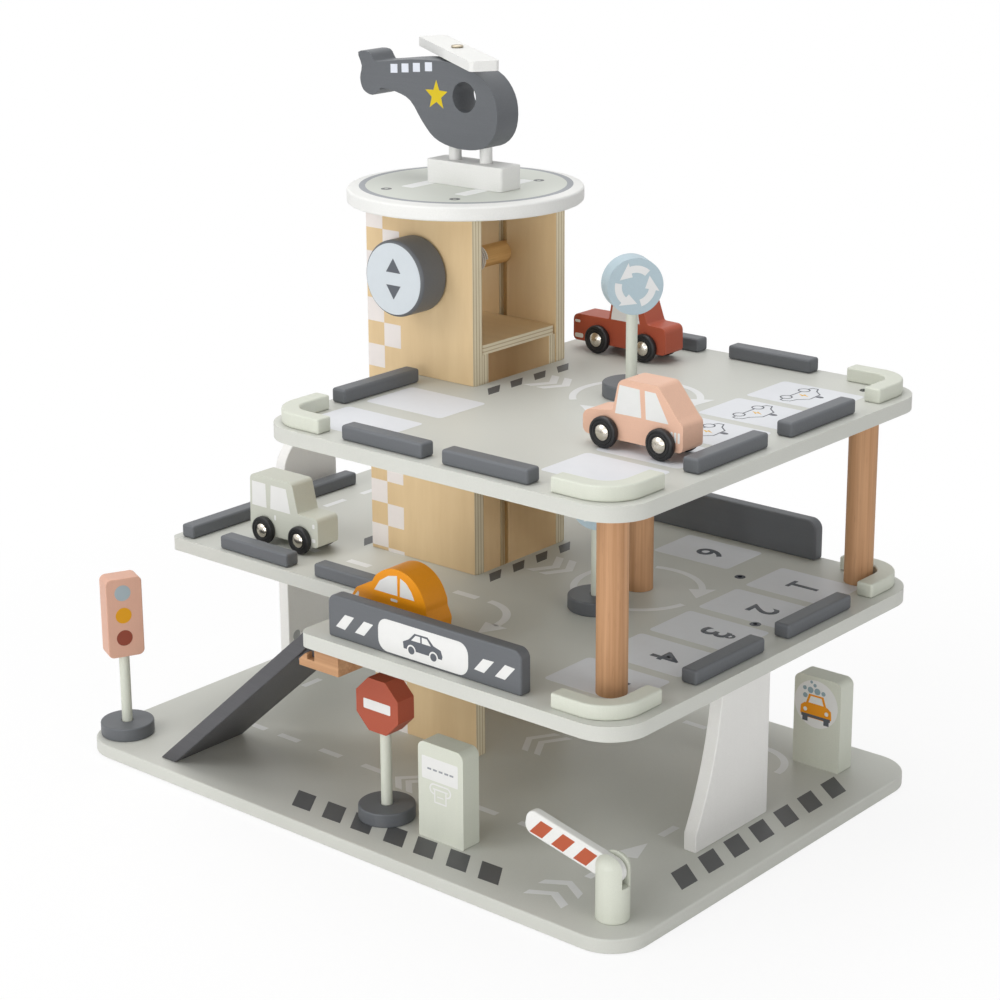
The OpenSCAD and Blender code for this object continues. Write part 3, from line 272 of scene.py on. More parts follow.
paper, mix, place = new_material("floor_paper")
fibre = mix.noise(place, 60, 3)
lit = mix.node("ShaderNodeBsdfDiffuse", None, {
    "Color": mix.mixed(fibre, pigment(250, 250, 250), pigment(253, 253, 253))})
white = mix.node("ShaderNodeEmission", None, {"Color": (1, 1, 1, 1), "Strength": 1.0})
looked_at = mix.node("ShaderNodeLightPath", output="Is Camera Ray")
reach = mix.node("ShaderNodeVectorMath", {"operation": "LENGTH"}, {0: place}, "Value")
share = PLAIN_WHITE + (1 - PLAIN_WHITE) * mix.sharpened(reach, *FADE)
both = mix.node("ShaderNodeMixShader", None, {0: looked_at * share, 1: lit, 2: white})
mix.node("ShaderNodeOutputMaterial", None, {"Surface": both})

bm = bmesh.new()
bmesh.ops.create_circle(bm, cap_ends=True, radius=FLOOR_R, segments=64,
                        matrix=Matrix.Translation((0, 0, FLOOR_Z)))
floor = made_piece("paper_floor", bm, paper)
print("floor radius, m:", FLOOR_R)

# %% [markdown]
# ## Satin paint
# Nearly every board has a sprayed water-based paint with a soft sheen. Up close its tone
# drifts a little, tiny specks of dust and orange peel break the sheen, and the fibres of
# solid wood lift it into faint streaks. All three are noise on Object coordinates, which
# are metres on every piece.

# %% Satin paint
ALONG_X, ALONG_Z = (18, 620, 620), (620, 620, 18)  # waves in a metre, along and across
DRIFT, SPECK = 11, 1500


def satin_paint(name, parts, show, fibres=ALONG_X, sheen=0.46, gloss=1.45):
    """Paint of 0 to 255 parts; show is how much of the wood's fibres it lets through."""
    material, mix, place = new_material(name)
    drift, speck = mix.noise(place, DRIFT, 3), mix.noise(place, SPECK, 1)
    streak = mix.noise(mix.stretched(place, fibres), 1, 4, 0.6)
    tone = 0.35 * drift + 0.25 * speck + (0.4 * show) * streak
    share = mix.sharpened(tone, 0.15 + 0.1 * show, 0.45 + 0.3 * show)
    colour = mix.mixed(share, pigment(*parts, tint=0.95 - 0.10 * show),
                       pigment(*parts, tint=1.03 + 0.05 * show))
    rough = (sheen - 0.05) + 0.06 * speck + 0.05 * streak
    mix.finish(colour, rough, 0.6 * speck + show * streak, 0.10, IOR=gloss)
    return material


paints = {name: satin_paint(name + "_paint", *how) for name, how in {
    "grey_board": ((206, 207, 200), 0.12, ALONG_X, 0.42, 1.38),
    "dark_grey": ((99, 102, 106), 0.7),
    "ramp_grey": ((82, 82, 85), 1.6),
    "pale_green": ((214, 217, 204), 0.3, ALONG_Z),
    "white": ((236, 236, 233), 0.3),
    "support_white": ((236, 235, 232), 0.25, ALONG_Z),
    "brick_red": ((173, 80, 54), 0.45),
    "pink": ((234, 190, 165), 0.4),
    "lamp_pink": ((219, 172, 150), 0.4, ALONG_Z),
    "car_green": ((203, 205, 193), 0.4),
    "orange": ((243, 155, 12), 0.45),
    "blue_grey": ((182, 201, 210), 0.35),
}.items()}
print("paints:", len(paints))

# %% [markdown]
# ## Bare wood
# The tower and the lift cabin are birch plywood, left bare. A rotary-cut veneer has long,
# low-contrast figure on its face, and on an edge the plies show as stripes, light and dark
# in turn, because every other sheet is cut across its fibres. The stripes belong only to
# surfaces that look sideways across the stack, which the surface normal tells.

# %% Birch plywood
WALL, PLY, ROOF_PLY = 9, 1.3, 1.2


def birch_plywood(name, stack, fibres, ply):
    """Veneer whose plies lie on each other along axis number stack, each ply mm thick."""
    material, mix, place = new_material(name)
    figure = mix.noise(mix.stretched(place, fibres), 1, 5, 0.62)
    cloud = mix.noise(place, 16, 3)
    pore = mix.noise(mix.stretched(place, [s * 5 for s in fibres]), 1, 2)
    face_tone = mix.sharpened(0.6 * figure + 0.25 * cloud + 0.15 * pore, 0.3, 0.68)
    face = mix.mixed(face_tone, pigment(213, 184, 140), pigment(228, 202, 159))
    facing = mix.one_axis(mix.place("Normal"), stack)
    on_edge = facing.reckon("ABSOLUTE", facing) < 0.6
    height = mix.one_axis(place, stack) + 0.00022 * cloud
    wave = height.reckon("SINE", height * (math.pi / (ply * MM)))
    stripe = mix.sharpened(wave, -0.95, -0.35)
    rough_cut = mix.noise(place, 700, 3)
    edge = mix.mixed(stripe, pigment(190, 168, 130), pigment(232, 222, 196))
    edge = mix.mixed(rough_cut * 0.3, edge, pigment(208, 190, 156))
    colour = mix.mixed(on_edge, face, edge)
    mix.finish(colour, 0.5 + 0.14 * pore, figure + 0.7 * stripe * on_edge, 0.10, IOR=1.42)
    return material


woods = {
    "wall_plywood": birch_plywood("wall_plywood", 1, (48, 48, 7), PLY),
    "plate_plywood": birch_plywood("plate_plywood", 2, (7, 48, 48), ROOF_PLY),
}
print("plies in a wall:", round(WALL / PLY))

# %% [markdown]
# The posts, the lift's shaft and pegs and the ramp's rest are solid hardwood. A beech-like
# wood is pinker than birch, with straight darker streaks and short flecks along the fibres.

# %% Hardwood
def hardwood(name, fibres, flecks, dark=(170, 124, 85), pale=(203, 158, 118)):
    material, mix, place = new_material(name)
    streak = mix.noise(mix.stretched(place, fibres), 1, 5, 0.6)
    band = mix.noise(mix.stretched(place, [s * 0.3 for s in fibres]), 1, 2)
    fleck = mix.noise(mix.stretched(place, flecks), 1, 2, 0.7)
    tone = mix.sharpened(0.5 * streak + 0.5 * band, 0.33, 0.66)
    wood = mix.mixed(tone, pigment(*dark), pigment(*pale))
    mark = mix.sharpened(fleck, 0.62, 0.75)
    colour = mix.mixed(mark * 0.4, wood, pigment(*dark, tint=0.7))
    mix.finish(colour, 0.5 + 0.12 * streak, streak - 0.5 * mark, 0.12, IOR=1.42)
    return material


woods["post_hardwood"] = hardwood("post_hardwood", (480, 480, 9), (900, 900, 70))
woods["block_hardwood"] = hardwood("block_hardwood", (9, 480, 480), (70, 900, 900))
woods["shaft_birch"] = hardwood("shaft_birch", (480, 9, 480), (900, 70, 900),
                                (186, 138, 80), (222, 182, 122))
print("woods:", sorted(woods))

# %% [markdown]
# ## Metal, wheels, ink and cord
# Screws and nuts are zinc-plated steel, brushed by the driver. The hub caps are pressed
# nickel, warmer and shinier. The wheels are wood with a black satin lacquer. Ink prints
# thin and a bit uneven, so the sheen varies with its cover.

# %% Metal, wheels, ink and cord
def plated_metal(name, parts, sheen, scratches=500):
    material, mix, place = new_material(name)
    cloud = mix.noise(place, 300, 3)
    scratch = mix.noise(place, scratches, 3)
    colour = mix.mixed(cloud, pigment(*parts, tint=0.85), pigment(*parts, tint=1.1))
    mix.finish(colour, sheen + 0.12 * scratch, scratch, 0.02, Metallic=1.0)
    return material


def black_lacquer(name):
    material, mix, place = new_material(name)
    fibre = mix.noise(mix.stretched(place, (900, 900, 200)), 1, 3)
    dust = mix.noise(place, 1800, 2)
    colour = mix.mixed(0.5 * fibre + 0.5 * dust, pigment(17, 17, 18), pigment(33, 33, 35))
    mix.finish(colour, 0.34 + 0.16 * dust, 0.5 * fibre + dust, 0.06, IOR=1.48)
    return material


def printed_ink(name, parts):
    material, mix, place = new_material(name)
    cover = mix.noise(place, 220, 3)
    dot = mix.noise(place, 2200, 1)
    share = 0.6 * cover + 0.4 * dot
    colour = mix.mixed(share, pigment(*parts, tint=0.955), pigment(*parts, tint=1.03))
    mix.finish(colour, 0.44 + 0.12 * cover, dot, 0.02, IOR=1.47)
    return material


def spun_cord(name, parts):
    material, mix, place = new_material(name)
    thread = mix.noise(place, 2600, 3)
    soil = mix.noise(place, 90, 2)
    colour = mix.mixed(0.6 * thread + 0.4 * soil, pigment(*parts, tint=0.8),
                       pigment(*parts, tint=1.08))
    mix.finish(colour, 0.78 + 0.1 * thread, thread, 0.08, Sheen_Weight=0.3)
    return material


metals = {
    "zinc": plated_metal("zinc_plated_steel", (182, 183, 184), 0.3),
    "nickel": plated_metal("nickel_hub_cap", (208, 201, 189), 0.2, 300),
    "brass": plated_metal("brassed_screw", (184, 174, 155), 0.3),
    "screw": plated_metal("black_zinc_screw", (50, 53, 60), 0.26),
}
lacquer = black_lacquer("black_wheel_lacquer")
cord_white = spun_cord("white_twisted_cord", (231, 224, 214))
inks, ink_slot = {}, {}
for slot, colours in {
    "white": {"road_white": (232, 233, 233), "bay_white": (226, 228, 232),
              "pad_white": (240, 241, 240), "window_white": (231, 231, 229),
              "pane_white": (222, 226, 235), "check_white": (233, 226, 222)},
    "dark_grey": {"mark_grey": (84, 85, 86), "line_grey": (88, 92, 99),
                  "pad_ring_grey": (152, 155, 160)},
    "blue_grey": {"lamp_blue_grey": (164, 178, 184), "knob_pale_blue": (208, 215, 220),
                  "drop_blue": (146, 168, 176)},
    "orange": {"amber": (222, 156, 4), "sun_yellow": (226, 178, 60),
               "star_yellow": (214, 187, 12), "car_orange": (236, 152, 14)},
    "brick_red": {"brick_red": (184, 86, 52), "lamp_red": (142, 66, 46)},
    "pale_green": {"pad_green_grey": (208, 211, 203)},
}.items():
    for name, parts in colours.items():
        inks[name] = printed_ink(name + "_ink", parts)
        ink_slot[name] = slot + "_painted_wood"
print("inks:", len(inks))

# %% [markdown]
# ## Eased edges
# No edge of a child's toy is sharp: each board is sanded or routed round before it is
# painted. A Bevel modifier could do it, but the CAD mesh is loose triangles, so its edges
# aren't edges yet. A copy is merged, its flat faces are made whole again, and the edges
# that turn by more than 30 degrees are bevelled. Screw holes keep their crisp rims: their
# edges are short, so a shortest length leaves them out. The copy then stands for the node.

# %% Eased edges
EDGE_TURN, CRISP_TURN, LATHE_TURN = (math.radians(a) for a in (30, 42, 38))
LONGEST_HOLE_EDGE = 1.25  # mm; the edges round a screw hole are no longer


def merged(node):
    """The node's triangles as one clean solid: joined corners, whole flat faces."""
    bm = bmesh.new()
    bm.from_mesh(nodes[node].data)
    bmesh.ops.remove_doubles(bm, verts=bm.verts, dist=1e-6)
    bmesh.ops.dissolve_limit(bm, angle_limit=math.radians(0.5), verts=bm.verts,
                             edges=bm.edges)
    return bm


def rounded(bm, edges, radius, segments=3):
    bmesh.ops.bevel(bm, geom=edges, offset=radius * MM, segments=segments,
                    affect="EDGES", profile=0.5, material=-1, clamp_overlap=True)


def smoothed(bm):
    for face in bm.faces:
        face.smooth = True


def welded(bm, reach=1e-6):
    bmesh.ops.remove_doubles(bm, verts=bm.verts, dist=reach)
    bmesh.ops.recalc_face_normals(bm, faces=bm.faces)


def spun(bm, points, middle, axis, steps):
    """Spins an outline of points round an axis, as a lathe turns wood."""
    corners = [bm.verts.new(point) for point in points]
    edges = [bm.edges.new(pair) for pair in zip(corners, corners[1:])]
    bmesh.ops.spin(bm, geom=corners + edges, cent=middle, axis=axis, angle=2 * math.pi,
                   steps=steps, use_merge=True)


def stand_in(name, bm, material, node):
    """Makes the piece that stands for a CAD node, with smooth faces and crisp turns."""
    smoothed(bm)
    piece = made_piece(name, bm, material)
    piece.data.set_sharp_from_angle(angle=CRISP_TURN)
    shading = piece.modifiers.new("even_shading", "WEIGHTED_NORMAL")
    shading.keep_sharp = True
    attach(piece, body_of[node])
    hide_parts(node)
    return piece


def sharp_edges(bm, turn):
    return [e for e in bm.edges if len(e.link_faces) == 2 and e.is_convex
            and e.calc_face_angle() > turn]


def eased(node, radius, material, shortest=0.2, segments=3, crisp=None):
    """A copy with its edges rounded; crisp is the x, z and reach of a hole left as drilled."""
    bm = merged(node)
    turned = [e for e in sharp_edges(bm, EDGE_TURN) if e.calc_length() > shortest * MM]
    if crisp:
        middle, reach = at(crisp[0], 0, crisp[1]), crisp[2] * MM
        turned = [e for e in turned if max(math.hypot(v.co.x - middle[0], v.co.z - middle[2])
                                           for v in e.verts) > reach]
    rounded(bm, turned, radius, segments)
    return stand_in(node + "_eased", bm, material, node)


def islands(bm):
    """Lists of the corners that hang together, one for each separate solid."""
    met, found = set(), []
    for first in bm.verts:
        if first not in met:
            met.add(first)
            group = [first]
            for corner in group:
                near = [e.other_vert(corner) for e in corner.link_edges]
                group += [v for v in near if v not in met]
                met.update(near)
            found.append(group)
    return found


def reach_of(points):
    """The lowest and the highest corner of the box round some points."""
    return [Vector([ends(p[i] for p in points) for i in range(3)]) for ends in (min, max)]


# Each row is a node, the radius of its rounding in mm, and its paint.
boards = {
    "base_board": (1.2, "grey_board"), "middle_deck": (1.2, "grey_board"),
    "top_deck": (1.2, "grey_board"), "helipad_disc": (1.5, "white"),
    "left_support_board": (0.8, "support_white"),
    "right_support_board": (0.8, "support_white"),
}
for node, (radius, paint) in boards.items():
    piece = eased(node, radius, paints[paint], shortest=LONGEST_HOLE_EDGE)
    print(node, "faces:", len(piece.data.polygons))

# %% Small painted pieces
small = {
    "parking_sign_board": (1.4, "dark_grey"), "rear_wall_board": (1.4, "dark_grey"),
    "corner_kerbs": (1.2, "pale_green"),
    "ramp_board": (0.8, "ramp_grey"), "ramp_hook_strip": (0.4, "ramp_grey"),
    "barrier_arm": (0.8, "white"),
    "traffic_light_head": (0.8, "lamp_pink"), "octagon_sign_head": (0.9, "brick_red"),
    "upper_roundabout_sign_head": (0.9, "blue_grey"),
    "middle_roundabout_sign_head": (0.9, "blue_grey"),
    "ticket_machine": (1.5, "pale_green"), "wash_sign_block": (1.5, "pale_green"),
    "landing_block": (1.0, "white"), "rotor": (0.6, "white"),
    "red_car_body": (1.8, "brick_red"),
    "pink_car_body": (1.8, "pink"), "green_car_body": (1.8, "car_green"),
    "orange_car_body": (1.8, "orange"),
}
for node, (radius, paint) in small.items():
    eased(node, radius, paints[paint])
eased("helicopter_body", 1.3, paints["dark_grey"], crisp=(188.2, 429.5, 10.2))
print("eased:", len(boards) + len(small) + 1)

# %% [markdown]
# The dark kerbs are plain strips, planed from one long moulding and sanded all round. The
# CAD strips already have two rounded edges each, which a bevel can't follow, so each strip
# is made new from its own length, width and height, with every edge rounded alike.

# %% Kerbs
bm = merged("dark_kerbs")
strips = [reach_of([v.co for v in group]) for group in islands(bm)]
bm.free()
bm = bmesh.new()
for low, high in strips:
    matrix = Matrix.Translation((low + high) / 2) @ Matrix.Diagonal((*(high - low), 1))
    bmesh.ops.create_cube(bm, size=1, matrix=matrix)
rounded(bm, bm.edges[:], 1.7, 4)
stand_in("dark_kerb_strips", bm, paints["dark_grey"], "dark_kerbs")
print("kerb strips:", len(strips))

# %% [markdown]
# The barrier's post is a piece of thick dowel with a domed top and a sawn slot for the arm.
# It is turned first. Then it is cut at both sides of the slot and at its floor, the faces
# between the cuts are taken out, and the slot gets its two walls and its floor.

# %% Barrier post
POST_R, POST_TOP, DOME, SLOT_Y, SLOT_FLOOR, FOOT = 9.8, 49.2, 8.2, (23.4, 30.1), 30.2, 0.6
centre = at(425, 27, BASE_TOP)
tall = POST_TOP - BASE_TOP
side = [(0, 0), (POST_R - FOOT, 0), (POST_R, FOOT)]
side += [(POST_R * math.cos(a), tall - DOME + DOME * math.sin(a))
         for a in [math.pi / 2 * k / 10 for k in range(11)]]
bm = bmesh.new()
spun(bm, [centre + Vector((r, 0, z)) * MM for r, z in side], centre, (0, 0, 1), 48)
welded(bm)
near_y, far_y = (at(0, y, 0).y for y in SLOT_Y)
floor_z = SLOT_FLOOR * MM
for point, normal in (((0, near_y, 0), (0, 1, 0)), ((0, far_y, 0), (0, 1, 0)),
                      ((0, 0, floor_z), (0, 0, 1))):
    bmesh.ops.bisect_plane(bm, geom=bm.verts[:] + bm.edges[:] + bm.faces[:],
                           dist=1e-7, plane_co=point, plane_no=normal)
inside = [f for f in bm.faces if near_y < f.calc_center_median().y < far_y
          and f.calc_center_median().z > floor_z]
bmesh.ops.delete(bm, geom=inside, context="FACES")
rim = {v for e in bm.edges if e.is_boundary for v in e.verts}
for wall_y in (near_y, far_y):
    arch = [v for v in rim if abs(v.co.y - wall_y) < 1e-6]
    arch.sort(key=lambda v: math.atan2(v.co.x - centre.x, v.co.z - floor_z + 0.1 * MM))
    bm.faces.new(arch)
flat = [v for v in rim if abs(v.co.z - floor_z) < 1e-6]
flat.sort(key=lambda v: math.atan2(v.co.y - centre.y, v.co.x - centre.x))
bm.faces.new(flat)
bmesh.ops.recalc_face_normals(bm, faces=bm.faces)
stand_in("barrier_post_dowel", bm, paints["pale_green"], "barrier_post")
print("slot walls:", len(arch), "corners each")

# %% [markdown]
# The plywood walls and the cabin are only broken with sandpaper, so that the plies stay
# crisp at the edge. Turned pieces come from a lathe: their sides are smooth and their rims
# are rounded with a file.

# %% Bare wood and turned pieces
for node, wood in (("tower_front_wall", "wall_plywood"), ("tower_back_wall", "wall_plywood"),
                   ("cabin_sides", "wall_plywood"), ("cabin_roof", "plate_plywood"),
                   ("cabin_floor", "plate_plywood"), ("ramp_rest_block", "block_hardwood")):
    eased(node, 0.4, woods[wood], shortest=LONGEST_HOLE_EDGE, segments=2)
eased("deck_posts", 0.4, woods["post_hardwood"])
eased("winding_shaft", 0.5, woods["shaft_birch"])
eased("cabin_guide_pegs", 0.4, woods["shaft_birch"])
eased("winding_knob", 1.6, paints["dark_grey"], segments=4)
eased("helicopter_legs", 0.3, paints["white"])
for stand in ("traffic_light", "octagon_sign", "upper_roundabout_sign",
              "middle_roundabout_sign"):
    eased(stand + "_base", 1.3, paints["dark_grey"])
    eased(stand + "_pole", 0.4, paints["pale_green"])
print("turned pieces done")

# %% [markdown]
# Screws are driven last, through board and print, so that their heads stand a hair proud.
# Each screw that shows on a deck is lifted by what the construction has it sunk, and more.

# %% Metal pieces
bm = merged("fixing_screws")
rounded(bm, sharp_edges(bm, math.radians(60)), 0.2, 2)
SUNK, PROUD = 0.3, 0.15
for group in islands(bm):
    top = max(v.co.z for v in group) / MM
    if min(abs(top + SUNK - level) for level in (MIDDLE_TOP, TOP_TOP, PAD_TOP)) < 0.1:
        bmesh.ops.translate(bm, verts=group, vec=(0, 0, (SUNK + PROUD) * MM))
stand_in("driven_screws", bm, metals["screw"], "fixing_screws")
eased("barrel_nuts", 0.3, metals["zinc"])
eased("barrier_pin", 0.3, metals["zinc"])
eased("rotor_screw", 0.5, metals["brass"])
print("screws stand proud by, mm:", PROUD)

# %% [markdown]
# ## Wheels
# Each car has two steel axles. On each end sits a turned wooden wheel with a groove in its
# face, held by a pressed, domed hub cap. A lathe turns a profile round an axis, and so does
# the spin operator: half a section is drawn once and spun, with its start and end merged.

# %% Wheels
CAP_HIGH, WHEEL_THICK, CAP_R, WHEEL_R, ROD_R = 1.45, 4.0, 4.6, 9.25, 1.5
dome_r = (CAP_R ** 2 + CAP_HIGH ** 2) / (2 * CAP_HIGH)


def lathe(name, outlines, middle, material, body):
    """Spins outlines of (radius, along), in mm, round an axle that runs along Y."""
    bm = bmesh.new()
    for outline, side in outlines:
        spun(bm, [middle + Vector((r, side * along, 0)) * MM for r, along in outline],
             middle, (0, 1, 0), 40)
    welded(bm)
    smoothed(bm)
    piece = made_piece(name, bm, material)
    piece.data.set_sharp_from_angle(angle=LATHE_TURN)
    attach(piece, body)
    return piece


for axle in ["%s_%s" % (car, end) for car in ("red_car", "pink_car", "green_car", "orange_car")
             for end in ("front", "rear")]:
    node, body = axle + "_wheels", axle + "_axle"
    low, high = span(node)
    middle = at(*middle_of(node))
    face = (high.y - low.y) / 2 - CAP_HIGH
    back = face - WHEEL_THICK
    tyre = [(0, back + 0.3), (5.2, back + 0.3), (5.6, back), (8.3, back),
            (WHEEL_R - 0.3, back + 0.3), (WHEEL_R, back + 1), (WHEEL_R, face - 1),
            (WHEEL_R - 0.3, face - 0.3), (8.3, face), (7.6, face), (7.35, face - 0.35),
            (7.0, face - 0.35), (6.75, face), (5.9, face), (5.5, face - 0.5),
            (4.7, face - 0.6), (0, face - 0.6)]
    cap = [(0, face - 0.6), (CAP_R - 0.25, face - 0.6), (CAP_R, face - 0.35)]
    cap += [(dome_r * math.sin(a), face + CAP_HIGH - dome_r * (1 - math.cos(a)))
            for a in [math.asin(CAP_R / dome_r) * k / 8 for k in range(8, -1, -1)]]
    rod = [(0, -back - 0.2), (ROD_R, -back - 0.2), (ROD_R, back + 0.2), (0, back + 0.2)]
    tyres = lathe(axle + "_tyres", [(tyre, 1), (tyre, -1)], middle, lacquer, body)
    caps = lathe(axle + "_hub_caps", [(cap, 1), (cap, -1), (rod, 1)], middle,
                 metals["nickel"], body)
    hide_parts(node)
    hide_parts(node)
print("last pair:", node, "dome radius, mm:", round(dome_r, 1))

# %% [markdown]
# ## The lift's cord
# A twisted cord of three strands is wound on the shaft and hangs down to the cabin's roof.
# A plain tube with a pattern would look like wire. Each strand is a thin tube whose path
# turns round the cord's own path, once in every few diameters. Its path bends, so a curve
# with a round bevel makes it, and the three are joined into one mesh. The hanging part
# crosses the joint between the tower and the cabin, so it is left attached to neither.

# %% The lift's cord
CORD_D, TURNS, PITCH, SHAFT_R, LAY = 1.6, 5.5, 2.1, 7.0, 4.2
STRAND_R, STRAND_OFF, COIL_STEPS, HANG_STEPS = CORD_D * 0.27, CORD_D * 0.23, 40, 80
shaft_x, _, shaft_z = middle_of("winding_shaft")
cabin_top, cord_y = span("cabin_roof")[1].z, middle_of("lift_cord").y
lay_r = SHAFT_R + CORD_D / 2 + 0.05


def mesh_of(curve):
    """A curve or a text as a mesh of its own."""
    holder = bpy.data.objects.new(curve.name, curve)
    mesh = bpy.data.meshes.new_from_object(holder)
    bpy.data.objects.remove(holder)
    return mesh


def twisted(name, path, node):
    """Three strands laid round a path of points in mm, with one turn in every LAY."""
    bm, gone = bmesh.new(), [0.0]
    for a, b in zip(path, path[1:]):
        gone.append(gone[-1] + (b - a).length)
    for strand in range(3):
        curve = bpy.data.curves.new(name + "_strand", "CURVE")
        curve.dimensions, curve.bevel_depth, curve.bevel_resolution = "3D", STRAND_R * MM, 1
        curve.use_fill_caps = True
        line = curve.splines.new("POLY")
        line.points.add(len(path) - 1)
        for i, point in enumerate(path):
            run = (path[min(i + 1, len(path) - 1)] - path[max(i - 1, 0)]).normalized()
            out = Vector((0, 1, 0)) - run * run.y
            out = (out if out.length > 0.2 else Vector((1, 0, 0))).normalized()
            turn = 2 * math.pi * (gone[i] / LAY + strand / 3)
            off = out * math.cos(turn) + run.cross(out) * math.sin(turn)
            line.points[i].co = (*at(*(point + off * STRAND_OFF)), 1)
        bm.from_mesh(mesh_of(curve))
    welded(bm, 1e-7)
    smoothed(bm)
    piece = made_piece(name, bm, cord_white)
    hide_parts(node)
    print(name, "mm of cord:", round(gone[-1], 1))
    return piece


coil = [Vector((shaft_x - lay_r, cord_y, shaft_z - CORD_D + CORD_D * k / 3)) for k in range(3)]
for i in range(int(TURNS * COIL_STEPS) + 1):
    a = math.pi - 2 * math.pi * i / COIL_STEPS
    coil.append(Vector((shaft_x + lay_r * math.cos(a), cord_y + PITCH * i / COIL_STEPS,
                        shaft_z + lay_r * math.sin(a))))
wound = twisted("wound_lift_cord", coil, "cord_winding")
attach(wound, "winder")
top = Vector((shaft_x - lay_r, cord_y, shaft_z - CORD_D))
drop = top.z - cabin_top
hang = [top - Vector((0, 0, drop * k / HANG_STEPS)) for k in range(HANG_STEPS + 1)]
hanging = twisted("hanging_lift_cord", hang, "lift_cord")
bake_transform(hanging)

# %% [markdown]
# ## Printing
# Bays, arrows, dashes and windows are screen-printed. A texture would need an image or a
# tangle of masks, so each print is a sheet of ink as thin as 0.06 mm: its outline becomes
# one face and is extruded outwards. A small class holds the surface, with its own across
# and up, so outlines stay in plain millimetres, as on the printer's screen.

# %% Printing
INK = 0.06


class Surface:
    """A flat face to print on: a corner-frame point, and what is across and up on it."""

    def __init__(self, body, origin, across, up):
        self.body, self.origin = body, Vector(origin)
        self.across, self.up = Vector(across), Vector(up)

    def point(self, u, v):
        return at(*(self.origin + self.across * u + self.up * v))


def raise_ink(bm, faces, outwards):
    raised = bmesh.ops.extrude_face_region(bm, geom=faces)
    lifted = [v for v in raised["geom"] if isinstance(v, bmesh.types.BMVert)]
    bmesh.ops.translate(bm, verts=lifted, vec=outwards)


def ink_piece(name, bm, body, ink):
    piece = made_piece(name, bm, inks[ink])
    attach(piece, body)


def printed(name, surface, outlines, ink):
    bm = bmesh.new()
    outwards = surface.across.cross(surface.up).normalized() * INK * MM
    faces = []
    for outline in outlines:
        face = bm.faces.new([bm.verts.new(surface.point(u, v)) for u, v in outline])
        face.normal_update()
        if face.normal.dot(outwards) < 0:
            face.normal_flip()
        faces.append(face)
    raise_ink(bm, faces, outwards)
    bmesh.ops.triangulate(bm, faces=[f for f in bm.faces if len(f.verts) > 4])
    ink_piece(name, bm, surface.body, ink)


def flat_top(body, z, layer=0):
    """A top face; a layer is how many prints lie under this one."""
    return Surface(body, (0, 0, z + layer * INK), (1, 0, 0), (0, 1, 0))


def front_face(body, y, layer=0, shift=0):
    return Surface(body, (shift, y - layer * INK, 0), (1, 0, 0), (0, 0, 1))


def back_face(body, y):
    return Surface(body, (0, y, 0), (-1, 0, 0), (0, 0, 1))


print("ink thickness, mm:", INK)

# %% [markdown]
# A few shapes come again and again: a box, a panel with rounded corners, a band round part
# of a circle, an arrow that follows such a band, a line of one width and a chevron.

# %% Shapes to print
ARROW_WIDE = 4.4


def box_outline(x0, y0, x1, y1):
    return [(x0, y0), (x1, y0), (x1, y1), (x0, y1)]


def boxes(corners, wide, tall):
    """Boxes of one size, from their low corners."""
    return [box_outline(x, y, x + wide, y + tall) for x, y in corners]


def polar(cx, cy, r, degrees):
    return (cx + r * math.cos(math.radians(degrees)), cy + r * math.sin(math.radians(degrees)))


def arc(cx, cy, r, a0, a1, steps=24):
    return [polar(cx, cy, r, a0 + (a1 - a0) * k / steps) for k in range(steps + 1)]


def disc(cx, cy, r, steps=48):
    return arc(cx, cy, r, 0, 360, steps)[:-1]


def panel(x0, y0, x1, y1, r=3.0):
    return [point for cx, cy, start in ((x1 - r, y1 - r, 0), (x0 + r, y1 - r, 90),
                                        (x0 + r, y0 + r, 180), (x1 - r, y0 + r, 270))
            for point in arc(cx, cy, r, start, start + 90, 6)]


def band(cx, cy, inner, outer, a0, a1, steps=24):
    return arc(cx, cy, outer, a0, a1, steps) + arc(cx, cy, inner, a1, a0, steps)


def ring(cx, cy, inner, outer):
    return [band(cx, cy, inner, outer, a, a + 120) for a in (0, 120, 240)]


def arc_arrow(cx, cy, r, wide, a0, a1, head, reach):
    """A band from a0 to a1 that ends in an arrowhead as wide as head, reach degrees long."""
    turn = math.copysign(1, a1 - a0)
    tip = [polar(cx, cy, q, a)
           for q, a in ((r - head / 2, a1), (r, a1 + turn * reach), (r + head / 2, a1))]
    return [band(cx, cy, r - wide / 2, r + wide / 2, a0, a1, 16), tip]


def roundabout(cx, cy, r, first, sweep, head, reach):
    """Three arrows that chase each other, a third of a turn apart."""
    return [part for a in (first, first + 120, first + 240)
            for part in arc_arrow(cx, cy, r, ARROW_WIDE, a, a + sweep, head, reach)]


def copies(shape, centres):
    return [[(cx + dx, cy + dy) for dx, dy in shape] for cx, cy in centres]


def line(points, wide):
    """A line of one width through the points, as one small box for each of its parts."""
    parts = []
    for (x0, y0), (x1, y1) in zip(points, points[1:]):
        long = math.hypot(x1 - x0, y1 - y0)
        nx, ny = -(y1 - y0) / long * wide / 2, (x1 - x0) / long * wide / 2
        ex, ey = (x1 - x0) / long * wide * 0.3, (y1 - y0) / long * wide * 0.3
        parts.append([(x0 - ex + nx, y0 - ey + ny), (x0 - ex - nx, y0 - ey - ny),
                      (x1 + ex - nx, y1 + ey - ny), (x1 + ex + nx, y1 + ey + ny)])
    return parts


def chevron(tip_x, y, long, half, wide):
    """A mark like an arrow's corner: tip to +X if long is positive, arms half high."""
    return [(tip_x, y), (tip_x - long, y + half), (tip_x - long - wide, y + half),
            (tip_x - wide, y), (tip_x - long - wide, y - half), (tip_x - long, y - half)]


print("panel corners:", len(panel(0, 0, 10, 10)))

# %% [markdown]
# ### The base
# Dark dashes run along the front and right edges. White chevrons and a lane line lead a
# driver from the barrier round the tower to the ramp.

